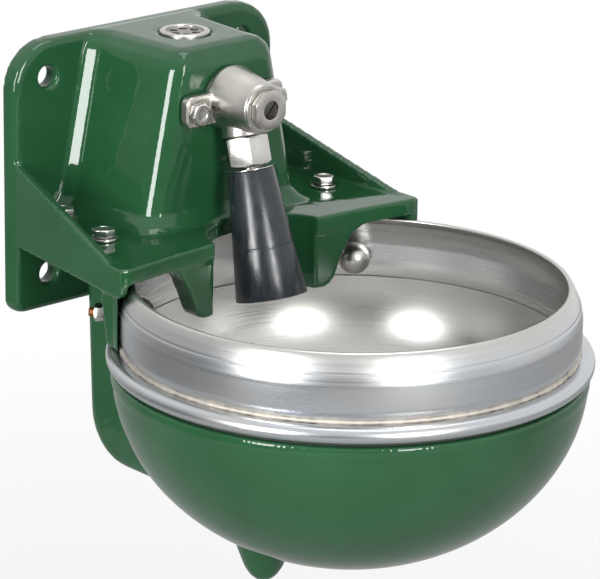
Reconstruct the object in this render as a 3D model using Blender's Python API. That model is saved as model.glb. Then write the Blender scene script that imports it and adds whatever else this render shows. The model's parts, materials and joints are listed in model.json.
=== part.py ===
"""Wall-mounted livestock drinking bowl with a tube valve.

Metres, +Z up. The origin is the centre of the four wall bolts on the wall plane y = 0, and the bowl
stands out towards -Y. Pieces are placed from the bowl's axis at rim height: there y runs towards the
wall and z is the height above the rim. One empty carries them all into the wall frame.
"""
import math

import bmesh
import bpy
from mathutils import Matrix, Vector

# Overall layout
WALL_TO_BOWL = 0.2095
RIM_BELOW_BOLTS = 0.036
SEAT_GAP = 0.0003
BIG_SIDES = 50
MEDIUM_SIDES = 24
SMALL_SIDES = 16

# Wall plate of the bracket casting
PLATE_WIDTH = 0.2145
PLATE_HEIGHT = 0.176
PLATE_DEPTH = 0.0122
PLATE_TOP_CORNER = 0.031
PLATE_BOTTOM_CORNER = 0.008
PLATE_EDGE_ROUND = 0.004
WALL_BOLT_SPACING_X = 0.160
WALL_BOLT_SPACING_Z = 0.129
WALL_BOLT_HOLE = 0.014
WALL_BOLT_MOUTH = 0.017

# Tower with the water way
TOWER_TOP = 0.1245
TOWER_FRONT = 0.1178
TOWER_HALF_TOP = 0.0400
TOWER_HALF_BOTTOM = 0.0633
TOWER_FLARE_TO_WALL = 0.004
TOWER_CORNER = 0.0135
TOWER_TOP_ROUND = 0.012
TOWER_WALL = 0.008
CORE_HALF_WIDTH = 0.021

# Shelf, side walls, guards and legs
SHELF_TOP = 0.013
SHELF_THICKNESS = 0.0105
SHELF_CORNER_HALF = 0.1242
SHELF_CORNER_REACH = 0.070
SHELF_CORNER_ROUND = 0.007
SIDE_WALL = 0.007
SIDE_WALL_TOP_AT_PLATE = 0.0475
SIDE_WALL_BOTTOM = -0.006
SIDE_WALL_LEVEL_FROM = 0.088
NOTCH_RADIUS = 0.0441
NOTCH_CENTRE = 0.0679
GUARD_FRONT = 0.0797
GUARD_DEPTH = 0.016
GUARD_TIP = -0.035
GUARD_TIP_WIDTH = 0.010
GUARD_ROOT_WIDTH = 0.030
LEG_GAP = 0.0015
LEG_TOP_THICKNESS = 0.0115
LEG_BOLT_THICKNESS = 0.0073
LEG_BOTTOM_THICKNESS = 0.006
LEG_START = math.radians(129.5)
LEG_END = math.radians(147.3)

# Bowl: upright collar and deep dish with a rolled flange
COLLAR_RADIUS = 0.142
RIM_STEP = 0.009
COLLAR_FOOT_STEP = 0.0024
COLLAR_FOOT = -0.0417
SHEET = 0.002
FLANGE_OVERHANG = 0.0085
FLANGE_ROLL = 0.0052
DISH_DEPTH = 0.127

# Outer shell with its rear box, ears and feet
SHELL_SET_BACK = 0.0035
SHELL_DEPTH = 0.122
SHELL_WALL = 0.006
SHELL_LIP = 0.0075
GASKET_THICKNESS = 0.0012
BOX_BESIDE_LEG = 0.0192
BOX_BEHIND_FLANGE = 0.0085
BOX_BOTTOM = -0.139
BOX_BACK_ROUND = 0.034
BOX_EDGE_ROUND = 0.008
EAR_HALF_WIDTH = 0.097
EAR_FRONT = 0.1215
EAR_BACK = 0.190
FOOT_X = 0.039
FOOT_Y = 0.034
FOOT_TIP = -0.198
FOOT_HALF_WIDTH = 0.0205

# Shelf bolts, M8
BOLT_FRONT = (0.0915, 0.128)
BOLT_REAR = (0.0835, 0.178)
M8_FLATS = 0.013
M8_HEAD = 0.0053
M8_SHANK = 0.008
M8_HOLE = 0.009
M8_TAPPED = 0.0086
WASHER_WIDTH = 0.018
WASHER_THICKNESS = 0.0016

# Ball-headed bolts through collar and legs, M6
BALL_BOLT_AZIMUTH = math.radians(46.8)
BALL_BOLT_HEIGHT = -0.0275
BALL_RADIUS = 0.010
BALL_NECK = 0.0076
M6_SHANK = 0.006
M6_HOLE = 0.0068
M6_FLATS = 0.010
M6_NUT = 0.006
SPOT_FACE_RADIUS = 0.0072

# Inlet in the tower top
INLET_Y = 0.160
INLET_BUSH_RADIUS = 0.016
INLET_BUSH_HEIGHT = 0.0135
INLET_PROUD = 0.0015
INLET_RECESS_RADIUS = 0.0174
INLET_RECESS = 0.0014
INLET_THREAD_RADIUS = 0.012
INLET_LEDGE_RADIUS = 0.0095
STRAINER_THICKNESS = 0.002
STRAINER_SET_BACK = 0.0008
STRAINER_HOLES = 6
STRAINER_HOLE_RADIUS = 0.0021
STRAINER_HOLE_CIRCLE = 0.0075

# Tube valve: level barrel, slanted branch
VALVE_HEIGHT = 0.091
BARREL_REAR_RADIUS = 0.0212
BARREL_FRONT_RADIUS = 0.0154
BARREL_FRONT = 0.083
BARREL_BORE = 0.008
CAP_THREAD_RADIUS = 0.0102
CAP_THREAD_LENGTH = 0.0065
LUG_THICKNESS = 0.006
LUG_X = 0.0315
LUG_END = 0.0395
LUG_HALF_HEIGHT = 0.0102
LUG_CORNER = 0.005
LUG_DROP = 0.0032
PORT_RADIUS = 0.0045
VALVE_GASKET = 0.0012
CAP_FLATS = 0.0222
CAP_LENGTH = 0.0046
CAP_RING = 0.0014
CAP_RING_RADIUS = 0.0157
SCREW_HEAD_RADIUS = 0.0056
SCREW_RADIUS = 0.003
SCREW_SLOT = 0.0012
SCREW_SLOT_TURN = math.radians(-49)
BRANCH_TILT = math.radians(15.2)
BRANCH_Y = 0.1065
BRANCH_SHOULDER = 0.0215
BRANCH_END = 0.028
BRANCH_TOP_RADIUS = 0.0128
BRANCH_SHOULDER_RADIUS = 0.0148
BRANCH_THREAD_RADIUS = 0.011
BRANCH_BORE = 0.007
SEAT_BORE = 0.0088
SEAT_TOP = 0.0134
SEAT_THICKNESS = 0.0036
SEAT_OPENING = 0.0036
PIN_RADIUS = 0.0016
PIN_HEAD_RADIUS = 0.0054
PIN_HEAD = 0.0016
PIN_SEAL = 0.002
PIN_FOOT_RADIUS = 0.0072
PIN_FOOT = 0.0014
PIN_LIFT_ROOM = 0.0005
SPRING_RADIUS = 0.0042
SPRING_WIRE = 0.00055
SPRING_TURNS = 4
NUT_FLATS = 0.026
NUT_BOTTOM = 0.041
NUT_BORE = 0.0113
NUT_MOUTH = 0.0095
PIVOT = 0.0345
PIVOT_BALL_RADIUS = 0.0106
PIVOT_BALL_TOP = 0.0045
PIVOT_BALL_FOOT = 0.0074
PIVOT_BALL_BORE = 0.00615
SLEEVE_PLAY = 0.00075
SLEEVE_BORE = 0.004
SLEEVE_RING_RADIUS = 0.0142
SLEEVE_RING_TOP = 0.0427
SLEEVE_RING = 0.0007
SLEEVE_END = 0.052
TUBE_TOP_RADIUS = 0.0145
TUBE_BOTTOM_RADIUS = 0.0228
TUBE_LENGTH = 0.081
TUBE_WALL = 0.003

# Places worked out from the sizes above
RIM_RADIUS = COLLAR_RADIUS - RIM_STEP
COLLAR_FOOT_RADIUS = COLLAR_RADIUS - COLLAR_FOOT_STEP
FLANGE_RADIUS = COLLAR_RADIUS + FLANGE_OVERHANG
SHELL_RADIUS = FLANGE_RADIUS - SHELL_SET_BACK
BOX_BACK = FLANGE_RADIUS + BOX_BEHIND_FLANGE
LEG_INSIDE = COLLAR_RADIUS + LEG_GAP
SPOT_FACE_REACH = LEG_INSIDE + LEG_BOLT_THICKNESS
BOX_HALF_WIDTH = SPOT_FACE_REACH * math.cos(BALL_BOLT_AZIMUTH) - BOX_BESIDE_LEG
FLANGE_TOP = COLLAR_FOOT - SEAT_GAP
FLANGE_BOTTOM = FLANGE_TOP - 2 * FLANGE_ROLL
SHELL_TOP = FLANGE_BOTTOM - GASKET_THICKNESS - 2 * SEAT_GAP
SHELF_BOTTOM = SHELF_TOP - SHELF_THICKNESS
EAR_TOP = SHELF_BOTTOM - SEAT_GAP
PLATE_FRONT = WALL_TO_BOWL - PLATE_DEPTH
LUG_BACK = TOWER_FRONT - VALVE_GASKET - 2 * SEAT_GAP
LUG_FRONT = LUG_BACK - LUG_THICKNESS
CAP_BACK = BARREL_FRONT - CAP_RING - 2 * SEAT_GAP
CAP_FRONT = CAP_BACK - CAP_LENGTH
TUBE_TOP = SLEEVE_RING_TOP + SLEEVE_RING + SEAT_GAP
SLEEVE_RADIUS = PIVOT_BALL_BORE - SLEEVE_PLAY
PIN_FOOT_BOTTOM = PIVOT - PIVOT_BALL_TOP - PIN_LIFT_ROOM
BRANCH_UP = Matrix.Rotation(-BRANCH_TILT, 4, "X")

for leftover in list(bpy.data.objects):
    bpy.data.objects.remove(leftover)


def material(name, colour, roughness, metallic=0.0):
    """A plain Principled material."""
    made = bpy.data.materials.new(name)
    made.use_nodes = True
    shader = made.node_tree.nodes["Principled BSDF"]
    shader.inputs["Base Color"].default_value = (*colour, 1.0)
    shader.inputs["Roughness"].default_value = roughness
    shader.inputs["Metallic"].default_value = metallic
    return made


ENAMEL = material("green_enamel", (0.028, 0.110, 0.050), 0.16)
STAINLESS = material("brushed_stainless", (0.58, 0.57, 0.55), 0.24, 1.0)
VALVE_STEEL = material("cast_stainless", (0.60, 0.58, 0.54), 0.34, 1.0)
ZINC = material("bright_zinc", (0.70, 0.70, 0.68), 0.25, 1.0)
BLACK_TUBE = material("black_plastic", (0.012, 0.014, 0.017), 0.18)
RUBBER = material("black_rubber", (0.020, 0.020, 0.020), 0.70)
DARK_STEEL = material("dark_steel", (0.10, 0.10, 0.10), 0.45, 1.0)
BRASS = material("brass", (0.62, 0.45, 0.20), 0.35, 1.0)


def empty(name, parent, place=(0.0, 0.0, 0.0), turn_x=0.0):
    """A guide that carries pieces; it is no piece itself."""
    guide = bpy.data.objects.new(name, None)
    guide.parent = parent
    guide.location = place
    guide.rotation_euler = (turn_x, 0.0, 0.0)
    bpy.context.collection.objects.link(guide)
    return guide


BOWL = empty("bowl_axis", None, (0.0, -WALL_TO_BOWL, -RIM_BELOW_BOLTS))
BARREL = empty("barrel_axis", BOWL, (0.0, 0.0, VALVE_HEIGHT))
BRANCH = empty("branch_axis", BOWL, (0.0, BRANCH_Y, VALVE_HEIGHT), -BRANCH_TILT)
TUBE_PIVOT = empty("tube_pivot", BRANCH, (0.0, 0.0, -PIVOT))


def piece(name, solid, finish, parent=BOWL, mesh=None):
    """Turn a bmesh, or a mesh that another piece already has, into a named object."""
    if mesh is None:
        mesh = bpy.data.meshes.new(name)
        bmesh.ops.recalc_face_normals(solid, faces=solid.faces)
        solid.to_mesh(mesh)
        solid.free()
        mesh.materials.append(finish)
        mesh.shade_smooth()
        mesh.set_sharp_from_angle(angle=math.radians(32))
    made = bpy.data.objects.new(name, mesh)
    made.parent = parent
    bpy.context.collection.objects.link(made)
    return made


def combine(target, tool_name, solid, operation):
    """Join a bmesh to a piece, or cut it from the piece, with an exact Boolean."""
    tool = piece(tool_name, solid, ENAMEL, target.parent)
    tool.hide_render = True
    tool.display_type = "WIRE"
    step = target.modifiers.new(tool_name, "BOOLEAN")
    step.object = tool
    step.operation = operation
    step.solver = "EXACT"
    return tool


def turned(profile, sides):
    """Turn (radius, height) points about Z. A profile that starts and ends on the axis is left open."""
    solid = bmesh.new()
    points = [solid.verts.new((radius, 0.0, height)) for radius, height in profile]
    edges = [solid.edges.new(pair) for pair in zip(points, points[1:])]
    if profile[0][0] > 0.0:
        edges.append(solid.edges.new((points[-1], points[0])))
    bmesh.ops.spin(solid, geom=points + edges, cent=(0, 0, 0), axis=(0, 0, 1), angle=math.tau,
                   steps=sides, use_merge=True)
    bmesh.ops.remove_doubles(solid, verts=solid.verts, dist=1e-6)
    return solid


def placed(solid, matrix):
    """Move a bmesh."""
    bmesh.ops.transform(solid, matrix=matrix, verts=solid.verts)
    return solid


def along_y(solid, height=0.0, x=0.0):
    """Lay a solid that was turned about Z along Y, so that its z becomes y."""
    return placed(solid, Matrix.Translation((x, 0.0, height)) @ Matrix.Rotation(-math.pi / 2, 4, "X"))


def prism(outline, low, high, axis="Z"):
    """Extrude a flat outline from low to high along an axis; the outline holds the other two axes."""
    place = {
        "X": lambda point, level: (level, point[0], point[1]),
        "Y": lambda point, level: (point[0], level, point[1]),
        "Z": lambda point, level: (point[0], point[1], level),
    }[axis]
    solid = bmesh.new()
    face = solid.faces.new([solid.verts.new(place(point, low)) for point in outline])
    grown = bmesh.ops.extrude_face_region(solid, geom=[face])
    top = [item for item in grown["geom"] if isinstance(item, bmesh.types.BMVert)]
    bmesh.ops.translate(solid, verts=top, vec=Vector(place((0, 0), high)) - Vector(place((0, 0), low)))
    return solid


def loft(rings, hollow=False):
    """Skin equal rings of points; a hollow loft closes on its first ring, any other gets end caps."""
    solid = bmesh.new()
    rows = [[solid.verts.new(point) for point in ring] for ring in rings]
    pairs = list(zip(rows, rows[1:]))
    if hollow:
        pairs.append((rows[-1], rows[0]))
    else:
        solid.faces.new(rows[0])
        solid.faces.new(rows[-1])
    for lower, upper in pairs:
        for index in range(len(lower)):
            after = (index + 1) % len(lower)
            solid.faces.new((lower[index], lower[after], upper[after], upper[index]))
    return solid


def arc(centre, radius, start, end, steps):
    """Points on an arc; angles in radians, both ends included."""
    turns = [start + (end - start) * step / steps for step in range(steps + 1)]
    return [(centre[0] + radius * math.cos(turn), centre[1] + radius * math.sin(turn)) for turn in turns]


def circle_ring(radius, height, sides=SMALL_SIDES):
    """A round ring of points about Z."""
    turns = [math.tau * step / sides for step in range(sides)]
    return [(radius * math.cos(turn), radius * math.sin(turn), height) for turn in turns]


def hexagon_ring(flats, height, sides=SMALL_SIDES, turn=0.0, limit=None):
    """A hexagonal ring of points about Z, cut back to a round limit where one is given."""
    points = []
    for step in range(sides):
        angle = math.tau * step / sides
        reach = flats / 2 / math.cos(angle % (math.pi / 3) - math.pi / 6)
        if limit is not None:
            reach = min(reach, limit)
        points.append((reach * math.cos(angle + turn), reach * math.sin(angle + turn), height))
    return points


def both_sides(solid):
    """Add the mirror image of a solid across the plane x = 0."""
    copy = bmesh.ops.duplicate(solid, geom=solid.verts[:] + solid.edges[:] + solid.faces[:])["geom"]
    moved = [item for item in copy if isinstance(item, bmesh.types.BMVert)]
    bmesh.ops.scale(solid, vec=(-1, 1, 1), verts=moved)
    bmesh.ops.reverse_faces(solid, faces=[item for item in copy if isinstance(item, bmesh.types.BMFace)])
    return solid


def merged(solids):
    """Gather separate solids in one bmesh."""
    whole = bmesh.new()
    for solid in solids:
        bmesh.ops.recalc_face_normals(solid, faces=solid.faces)
        shape = bpy.data.meshes.new("part")
        solid.to_mesh(shape)
        solid.free()
        whole.from_mesh(shape)
        bpy.data.meshes.remove(shape)
    return whole


# Bracket casting
def side_line(y):
    """Outer face of the side wall: it leans outwards from the plate to the front corner."""
    plate_half = PLATE_WIDTH / 2
    share = (PLATE_FRONT - y) / (PLATE_FRONT - SHELF_CORNER_REACH)
    return plate_half + (SHELF_CORNER_HALF - plate_half) * share


def front_line(x):
    """Front face of shelf and guards: it runs forwards from the notch to the corner."""
    notch_half = math.sqrt(NOTCH_RADIUS ** 2 - (GUARD_FRONT - NOTCH_CENTRE) ** 2)
    share = (abs(x) - notch_half) / (SHELF_CORNER_HALF - notch_half)
    return GUARD_FRONT - (GUARD_FRONT - SHELF_CORNER_REACH) * share


def wall_plate():
    """Plate with big upper corners, small lower ones and a rounded front edge."""
    half = PLATE_WIDTH / 2
    top = RIM_BELOW_BOLTS + PLATE_HEIGHT / 2
    bottom = RIM_BELOW_BOLTS - PLATE_HEIGHT / 2
    upper, lower = PLATE_TOP_CORNER, PLATE_BOTTOM_CORNER
    outline = arc((half - upper, top - upper), upper, 0, math.pi / 2, 6)
    outline += arc((upper - half, top - upper), upper, math.pi / 2, math.pi, 6)
    outline += arc((lower - half, bottom + lower), lower, math.pi, 1.5 * math.pi, 3)
    outline += arc((half - lower, bottom + lower), lower, 1.5 * math.pi, math.tau, 3)
    solid = prism(outline, PLATE_FRONT, WALL_TO_BOWL, "Y")
    front_edges = [edge for edge in solid.edges if all(vert.co.y < PLATE_FRONT + 1e-6 for vert in edge.verts)]
    bmesh.ops.bevel(solid, geom=front_edges, offset=PLATE_EDGE_ROUND, segments=2, profile=0.5,
                    affect="EDGES", material=-1)
    return solid


def tower_outline(height, inset=0.0, spread=0.0):
    """Level section of the tower at a height: round front corners and a flare into the plate."""
    share = (height - SHELF_TOP) / (TOWER_TOP - SHELF_TOP)
    half = TOWER_HALF_BOTTOM + (TOWER_HALF_TOP - TOWER_HALF_BOTTOM) * min(max(share, 0.0), 1.0)
    half += spread - inset
    front = TOWER_FRONT + inset - spread
    corner = max(TOWER_CORNER - inset, 0.002)
    back = half + TOWER_FLARE_TO_WALL
    right = [(back + 0.009, PLATE_FRONT + 0.004), (back + 0.0045, PLATE_FRONT - 0.0015), (back, PLATE_FRONT - 0.009)]
    right += arc((half - corner, front + corner), corner, 0, -math.pi / 2, 4)
    left = [(-x, y) for x, y in reversed(right)]
    return [(x, y, height) for x, y in right + left]


def tower():
    """Tapered tower: flared foot on the shelf, straight sides, rounded top."""
    foot = [(SHELF_TOP - 0.006, 0.009), (SHELF_TOP, 0.007), (SHELF_TOP + 0.003, 0.0035), (SHELF_TOP + 0.009, 0.0)]
    rings = [tower_outline(height, spread=spread) for height, spread in foot]
    shoulder = TOWER_TOP - TOWER_TOP_ROUND
    for step in range(4):
        turn = math.pi / 2 * step / 3
        inset = TOWER_TOP_ROUND * (1 - math.cos(turn))
        rings.append(tower_outline(shoulder + TOWER_TOP_ROUND * math.sin(turn), inset=inset))
    return loft(rings)


def shelf():
    """Level plate between the side walls."""
    corner, reach, radius = SHELF_CORNER_HALF, SHELF_CORNER_REACH, SHELF_CORNER_ROUND
    right = [(PLATE_WIDTH / 2 - 0.001, PLATE_FRONT + 0.004), (side_line(reach + radius), reach + radius)]
    right += arc((side_line(reach + radius) - radius, reach + radius), radius, -0.3, -math.pi / 2, 3)
    right += [(0.080, front_line(0.080)), (0.030, GUARD_FRONT)]
    outline = right + [(-x, y) for x, y in reversed(right)]
    return prism(outline, SHELF_BOTTOM, SHELF_TOP)


def side_walls():
    """The two gusset walls, which slope down from the plate and level out near the corner."""
    end = SHELF_CORNER_REACH + 0.002
    outline = [(PLATE_FRONT + 0.004, SIDE_WALL_TOP_AT_PLATE + 0.001), (SIDE_WALL_LEVEL_FROM, SHELF_TOP + 0.0006),
               (end, SHELF_TOP - 0.0006), (end, SIDE_WALL_BOTTOM + 0.003), (end + 0.003, SIDE_WALL_BOTTOM),
               (PLATE_FRONT + 0.004, SIDE_WALL_BOTTOM)]
    outer = [(side_line(y) - 0.0004, y, z) for y, z in outline]
    inner = [(side_line(y) - SIDE_WALL, y, z) for y, z in outline]
    return both_sides(loft([outer, inner]))


def guards():
    """The two horns that hang in front of the tube's sides."""
    notch_half = math.sqrt(NOTCH_RADIUS ** 2 - (GUARD_FRONT - NOTCH_CENTRE) ** 2)
    tip = notch_half + GUARD_TIP_WIDTH
    root = notch_half + GUARD_ROOT_WIDTH
    top = SHELF_BOTTOM + 0.004
    fall = SHELF_BOTTOM - GUARD_TIP
    outer = [(tip - 0.0025, GUARD_TIP), (tip + 0.0015, GUARD_TIP + 0.0015), (tip + 0.005, GUARD_TIP + 0.0055)]
    outer += [(tip + 0.0095, GUARD_TIP + 0.45 * fall), (root - 0.0045, GUARD_TIP + 0.76 * fall)]
    outer += [(root, SHELF_BOTTOM - 0.0038), (root + 0.0075, SHELF_BOTTOM - 0.0008), (root + 0.018, SHELF_BOTTOM + 0.0007)]
    outline = [(notch_half - 0.010, top), (notch_half - 0.010, GUARD_TIP)] + outer + [(root + 0.018, top)]
    near = [(x, front_line(x) + 0.0004, z) for x, z in outline]
    far = [(x, front_line(x) + GUARD_DEPTH, z) for x, z in outline]
    return both_sides(loft([near, far]))


def legs():
    """Curved legs under the shelf corners, which hug the collar and end on the bowl's flange."""
    inner = LEG_INSIDE
    top, bottom = SHELF_BOTTOM + 0.004, FLANGE_TOP + SEAT_GAP
    steps = 6
    rings = []
    for share in (0.0, 0.35, 0.7, 1.0):
        height = top + (bottom - top) * share
        limit = inner + LEG_TOP_THICKNESS + (LEG_BOTTOM_THICKNESS - LEG_TOP_THICKNESS) * share
        turns = [LEG_START + (LEG_END - LEG_START) * step / steps for step in range(steps + 1)]
        inside = [(inner * math.cos(turn), inner * math.sin(turn), height) for turn in turns]
        outside = []
        for turn in reversed(turns):
            side = math.inf
            for guess in (limit, inner + 0.002):
                if abs(guess * math.cos(turn)) <= side_line(guess * math.sin(turn)) - 0.0008:
                    side = guess
                    break
            if side == math.inf:
                side = inner + 0.0012
            outside.append((side * math.cos(turn), side * math.sin(turn), height))
        rings.append(inside + outside)
    return both_sides(loft(rings))


def rod(radius, low, high, sides=SMALL_SIDES):
    """A plain round bar about Z."""
    return loft([circle_ring(radius, low, sides), circle_ring(radius, high, sides)])


def bolt_places():
    """The four shelf bolts, left to right."""
    return [(-BOLT_FRONT[0], BOLT_FRONT[1]), (BOLT_FRONT[0], BOLT_FRONT[1]),
            (-BOLT_REAR[0], BOLT_REAR[1]), (BOLT_REAR[0], BOLT_REAR[1])]


def radial(azimuth, height):
    """Matrix that turns local Z into the outward radial direction at an azimuth."""
    return Matrix.Translation((0, 0, height)) @ Matrix.Rotation(azimuth, 4, "Z") @ Matrix.Rotation(math.pi / 2, 4, "Y")


def bracket_casting():
    """Plate, tower, shelf, walls, guards and legs as one casting, with its bores and back pockets."""
    casting = piece("bracket_casting", wall_plate(), ENAMEL)
    combine(casting, "join_tower", tower(), "UNION")
    combine(casting, "join_shelf", shelf(), "UNION")
    combine(casting, "join_side_walls", side_walls(), "UNION")
    combine(casting, "join_guards", guards(), "UNION")
    combine(casting, "join_legs", legs(), "UNION")
    notch = placed(rod(NOTCH_RADIUS, GUARD_TIP - 0.01, SHELF_TOP + 0.0155, 32), Matrix.Translation((0, NOTCH_CENTRE, 0)))
    combine(casting, "cut_notch", notch, "DIFFERENCE")
    lift = RIM_STEP
    room = [(RIM_RADIUS - 0.005, 0.0014), (RIM_RADIUS + 0.0034, 0.0014), (RIM_RADIUS + 0.55 * lift + 0.0009, -0.005),
            (RIM_RADIUS + 0.86 * lift + 0.0009, -0.0115), (COLLAR_RADIUS + 0.7 * LEG_GAP, -0.018),
            (COLLAR_RADIUS + 0.7 * LEG_GAP, -0.060), (RIM_RADIUS - 0.005, -0.060)]
    combine(casting, "cut_collar_room", turned(room, BIG_SIDES), "DIFFERENCE")
    combine(casting, "cut_pockets", back_pockets(), "DIFFERENCE")
    combine(casting, "cut_holes", casting_holes(), "DIFFERENCE")
    combine(casting, "cut_port", casting_port(), "DIFFERENCE")
    return casting


def back_pockets():
    """Hollows left and right of the water way, open to the wall."""
    low, high = SHELF_TOP + 0.004, TOWER_TOP - TOWER_TOP_ROUND - TOWER_WALL
    near, far = TOWER_FRONT + TOWER_WALL, WALL_TO_BOWL + 0.002
    rings = []
    for height in (low, high):
        share = (height - SHELF_TOP) / (TOWER_TOP - SHELF_TOP)
        outer = TOWER_HALF_BOTTOM + (TOWER_HALF_TOP - TOWER_HALF_BOTTOM) * share - TOWER_WALL
        rings.append([(CORE_HALF_WIDTH, near, height), (outer, near, height), (outer, far, height),
                      (CORE_HALF_WIDTH, far, height)])
    return both_sides(loft(rings))


def casting_holes():
    """Wall bolt holes with round mouths, shelf bolt holes, leg holes with spot faces, inlet bore."""
    solids = []
    for side in (-1, 1):
        for level in (-1, 1):
            profile = [(0, PLATE_FRONT - 0.002), (WALL_BOLT_MOUTH / 2 + 0.002, PLATE_FRONT - 0.002),
                       (WALL_BOLT_HOLE / 2, PLATE_FRONT + 0.0015), (WALL_BOLT_HOLE / 2, WALL_TO_BOWL + 0.002),
                       (0, WALL_TO_BOWL + 0.002)]
            height = RIM_BELOW_BOLTS + level * WALL_BOLT_SPACING_Z / 2
            solids.append(along_y(turned(profile, SMALL_SIDES), height, side * WALL_BOLT_SPACING_X / 2))
        azimuth = BALL_BOLT_AZIMUTH if side > 0 else math.pi - BALL_BOLT_AZIMUTH
        profile = [(0, COLLAR_RADIUS - 0.002), (M6_HOLE / 2, COLLAR_RADIUS - 0.002), (M6_HOLE / 2, SPOT_FACE_REACH),
                   (SPOT_FACE_RADIUS, SPOT_FACE_REACH), (SPOT_FACE_RADIUS, SPOT_FACE_REACH + 0.008),
                   (0, SPOT_FACE_REACH + 0.008)]
        solids.append(placed(turned(profile, 16), radial(azimuth, BALL_BOLT_HEIGHT)))
        bolt = rod(M8_TAPPED / 2, TOWER_FRONT - 0.002, TOWER_FRONT + 0.014, 16)
        solids.append(along_y(bolt, VALVE_HEIGHT - LUG_DROP, side * LUG_X))
    for x, y in bolt_places():
        hole = rod(M8_HOLE / 2, SHELF_BOTTOM - 0.003, SHELF_TOP + 0.003, 16)
        solids.append(placed(hole, Matrix.Translation((x, y, 0))))
    bush_seat = TOWER_TOP + INLET_PROUD - INLET_BUSH_HEIGHT - GASKET_THICKNESS - 2 * SEAT_GAP
    profile = [(0, VALVE_HEIGHT - 0.009), (INLET_LEDGE_RADIUS, VALVE_HEIGHT - 0.009), (INLET_LEDGE_RADIUS, bush_seat),
               (INLET_BUSH_RADIUS + SEAT_GAP, bush_seat), (INLET_BUSH_RADIUS + SEAT_GAP, TOWER_TOP - INLET_RECESS),
               (INLET_RECESS_RADIUS, TOWER_TOP - INLET_RECESS), (INLET_RECESS_RADIUS, TOWER_TOP + 0.003),
               (0, TOWER_TOP + 0.003)]
    solids.append(placed(turned(profile, MEDIUM_SIDES), Matrix.Translation((0, INLET_Y, 0))))
    return merged(solids)


def casting_port():
    """Level water port from the tower front to the inlet bore."""
    return along_y(rod(BARREL_BORE, TOWER_FRONT - 0.002, INLET_Y, 16), VALVE_HEIGHT)


# Bowl
def bowl_collar():
    """Upright ring that bulges below the drinking rim, with holes for the ball-headed bolts."""
    lift = RIM_STEP
    outer = [(RIM_RADIUS + 0.0008, 0.0), (RIM_RADIUS + 0.0025, -0.0008), (RIM_RADIUS + 0.55 * lift, -0.005),
             (RIM_RADIUS + 0.86 * lift, -0.0115), (COLLAR_RADIUS, -0.018), (COLLAR_RADIUS, -0.0357),
             (COLLAR_FOOT_RADIUS, COLLAR_FOOT)]
    inner = [(COLLAR_FOOT_RADIUS - SHEET, COLLAR_FOOT), (COLLAR_RADIUS - SHEET, -0.0357), (COLLAR_RADIUS - SHEET, -0.018),
             (RIM_RADIUS + 0.86 * lift - SHEET, -0.012), (RIM_RADIUS - 0.0006, -0.0016), (RIM_RADIUS - 0.0006, -0.0004)]
    collar = piece("bowl_collar", turned(outer + inner, BIG_SIDES), STAINLESS)
    holes = [placed(rod(M6_HOLE / 2, COLLAR_RADIUS - 0.01, COLLAR_RADIUS + 0.01, 12), radial(azimuth, BALL_BOLT_HEIGHT))
             for azimuth in (BALL_BOLT_AZIMUTH, math.pi - BALL_BOLT_AZIMUTH)]
    combine(collar, "cut_collar_holes", merged(holes), "DIFFERENCE")


def bowl_dish():
    """Deep-drawn dish whose edge is rolled into the flange ring under the collar."""
    roll_centre = (FLANGE_RADIUS - FLANGE_ROLL, FLANGE_TOP - FLANGE_ROLL)
    neck = COLLAR_FOOT_RADIUS - SHEET
    steps = 4
    inner = [(0, -DISH_DEPTH)]
    for step in range(1, steps + 1):
        turn = math.pi / 2 * step / steps
        inner.append(((neck - 0.001) * math.sin(turn) ** 0.72, FLANGE_TOP - (DISH_DEPTH + FLANGE_TOP) * math.cos(turn) ** 0.9
                      - 0.003 * (step == steps)))
    edge = [(neck, FLANGE_TOP)] + arc(roll_centre, FLANGE_ROLL, math.pi / 2, -math.pi / 2, 4)
    outer = [(radius + 0.35 * SHEET + 0.65 * SHEET * radius / neck, height - SHEET) for radius, height in inner[:0:-1]]
    outer[0] = (neck + 0.0008, FLANGE_BOTTOM)
    profile = inner + edge + outer + [(0, -DISH_DEPTH - SHEET)]
    piece("bowl_dish", turned(profile, BIG_SIDES), STAINLESS)


def shell_gasket():
    """Soft ring between the bowl's flange and the shell."""
    low, high = SHELL_TOP + SEAT_GAP, FLANGE_BOTTOM - SEAT_GAP
    inner, outer = SHELL_RADIUS - SHELL_WALL + 0.0005, SHELL_RADIUS - 0.0022
    piece("shell_gasket", turned([(inner, low), (outer, low), (outer, high), (inner, high)], BIG_SIDES), RUBBER)


# Outer shell
def shell_profile(offset):
    """Flattened half sphere, moved inwards by an offset, from near the lip to the pole."""
    points = []
    steps = 5
    for step in range(steps + 1):
        turn = math.radians(4) + (math.pi / 2 - math.radians(4)) * step / steps
        radius = (SHELL_RADIUS - offset) * math.cos(turn)
        points.append((radius if step < steps else 0.0, SHELL_TOP - (SHELL_DEPTH - offset) * math.sin(turn)))
    return points


def rear_box():
    """Box behind the half sphere: it rises past the collar to the ears under the shelf."""
    lean = 0.004
    outline = [(0.020, EAR_TOP - 0.003), (0.020, BOX_BOTTOM)]
    outline += arc((BOX_BACK - lean - BOX_BACK_ROUND, BOX_BOTTOM + BOX_BACK_ROUND), BOX_BACK_ROUND, -math.pi / 2, 0, 6)
    outline += [(BOX_BACK, EAR_TOP - 0.003)]
    solid = prism(outline, -BOX_HALF_WIDTH, BOX_HALF_WIDTH, "X")
    rim = [edge for edge in solid.edges
           if abs(abs(edge.verts[0].co.x) - BOX_HALF_WIDTH) < 1e-6 and edge.verts[0].co.x == edge.verts[1].co.x
           and max(vert.co.y for vert in edge.verts) > 0.05 and min(vert.co.z for vert in edge.verts) < EAR_TOP - 0.004]
    bmesh.ops.bevel(solid, geom=rim, offset=BOX_EDGE_ROUND, segments=3, profile=0.5, affect="EDGES", material=-1)
    return solid


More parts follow.
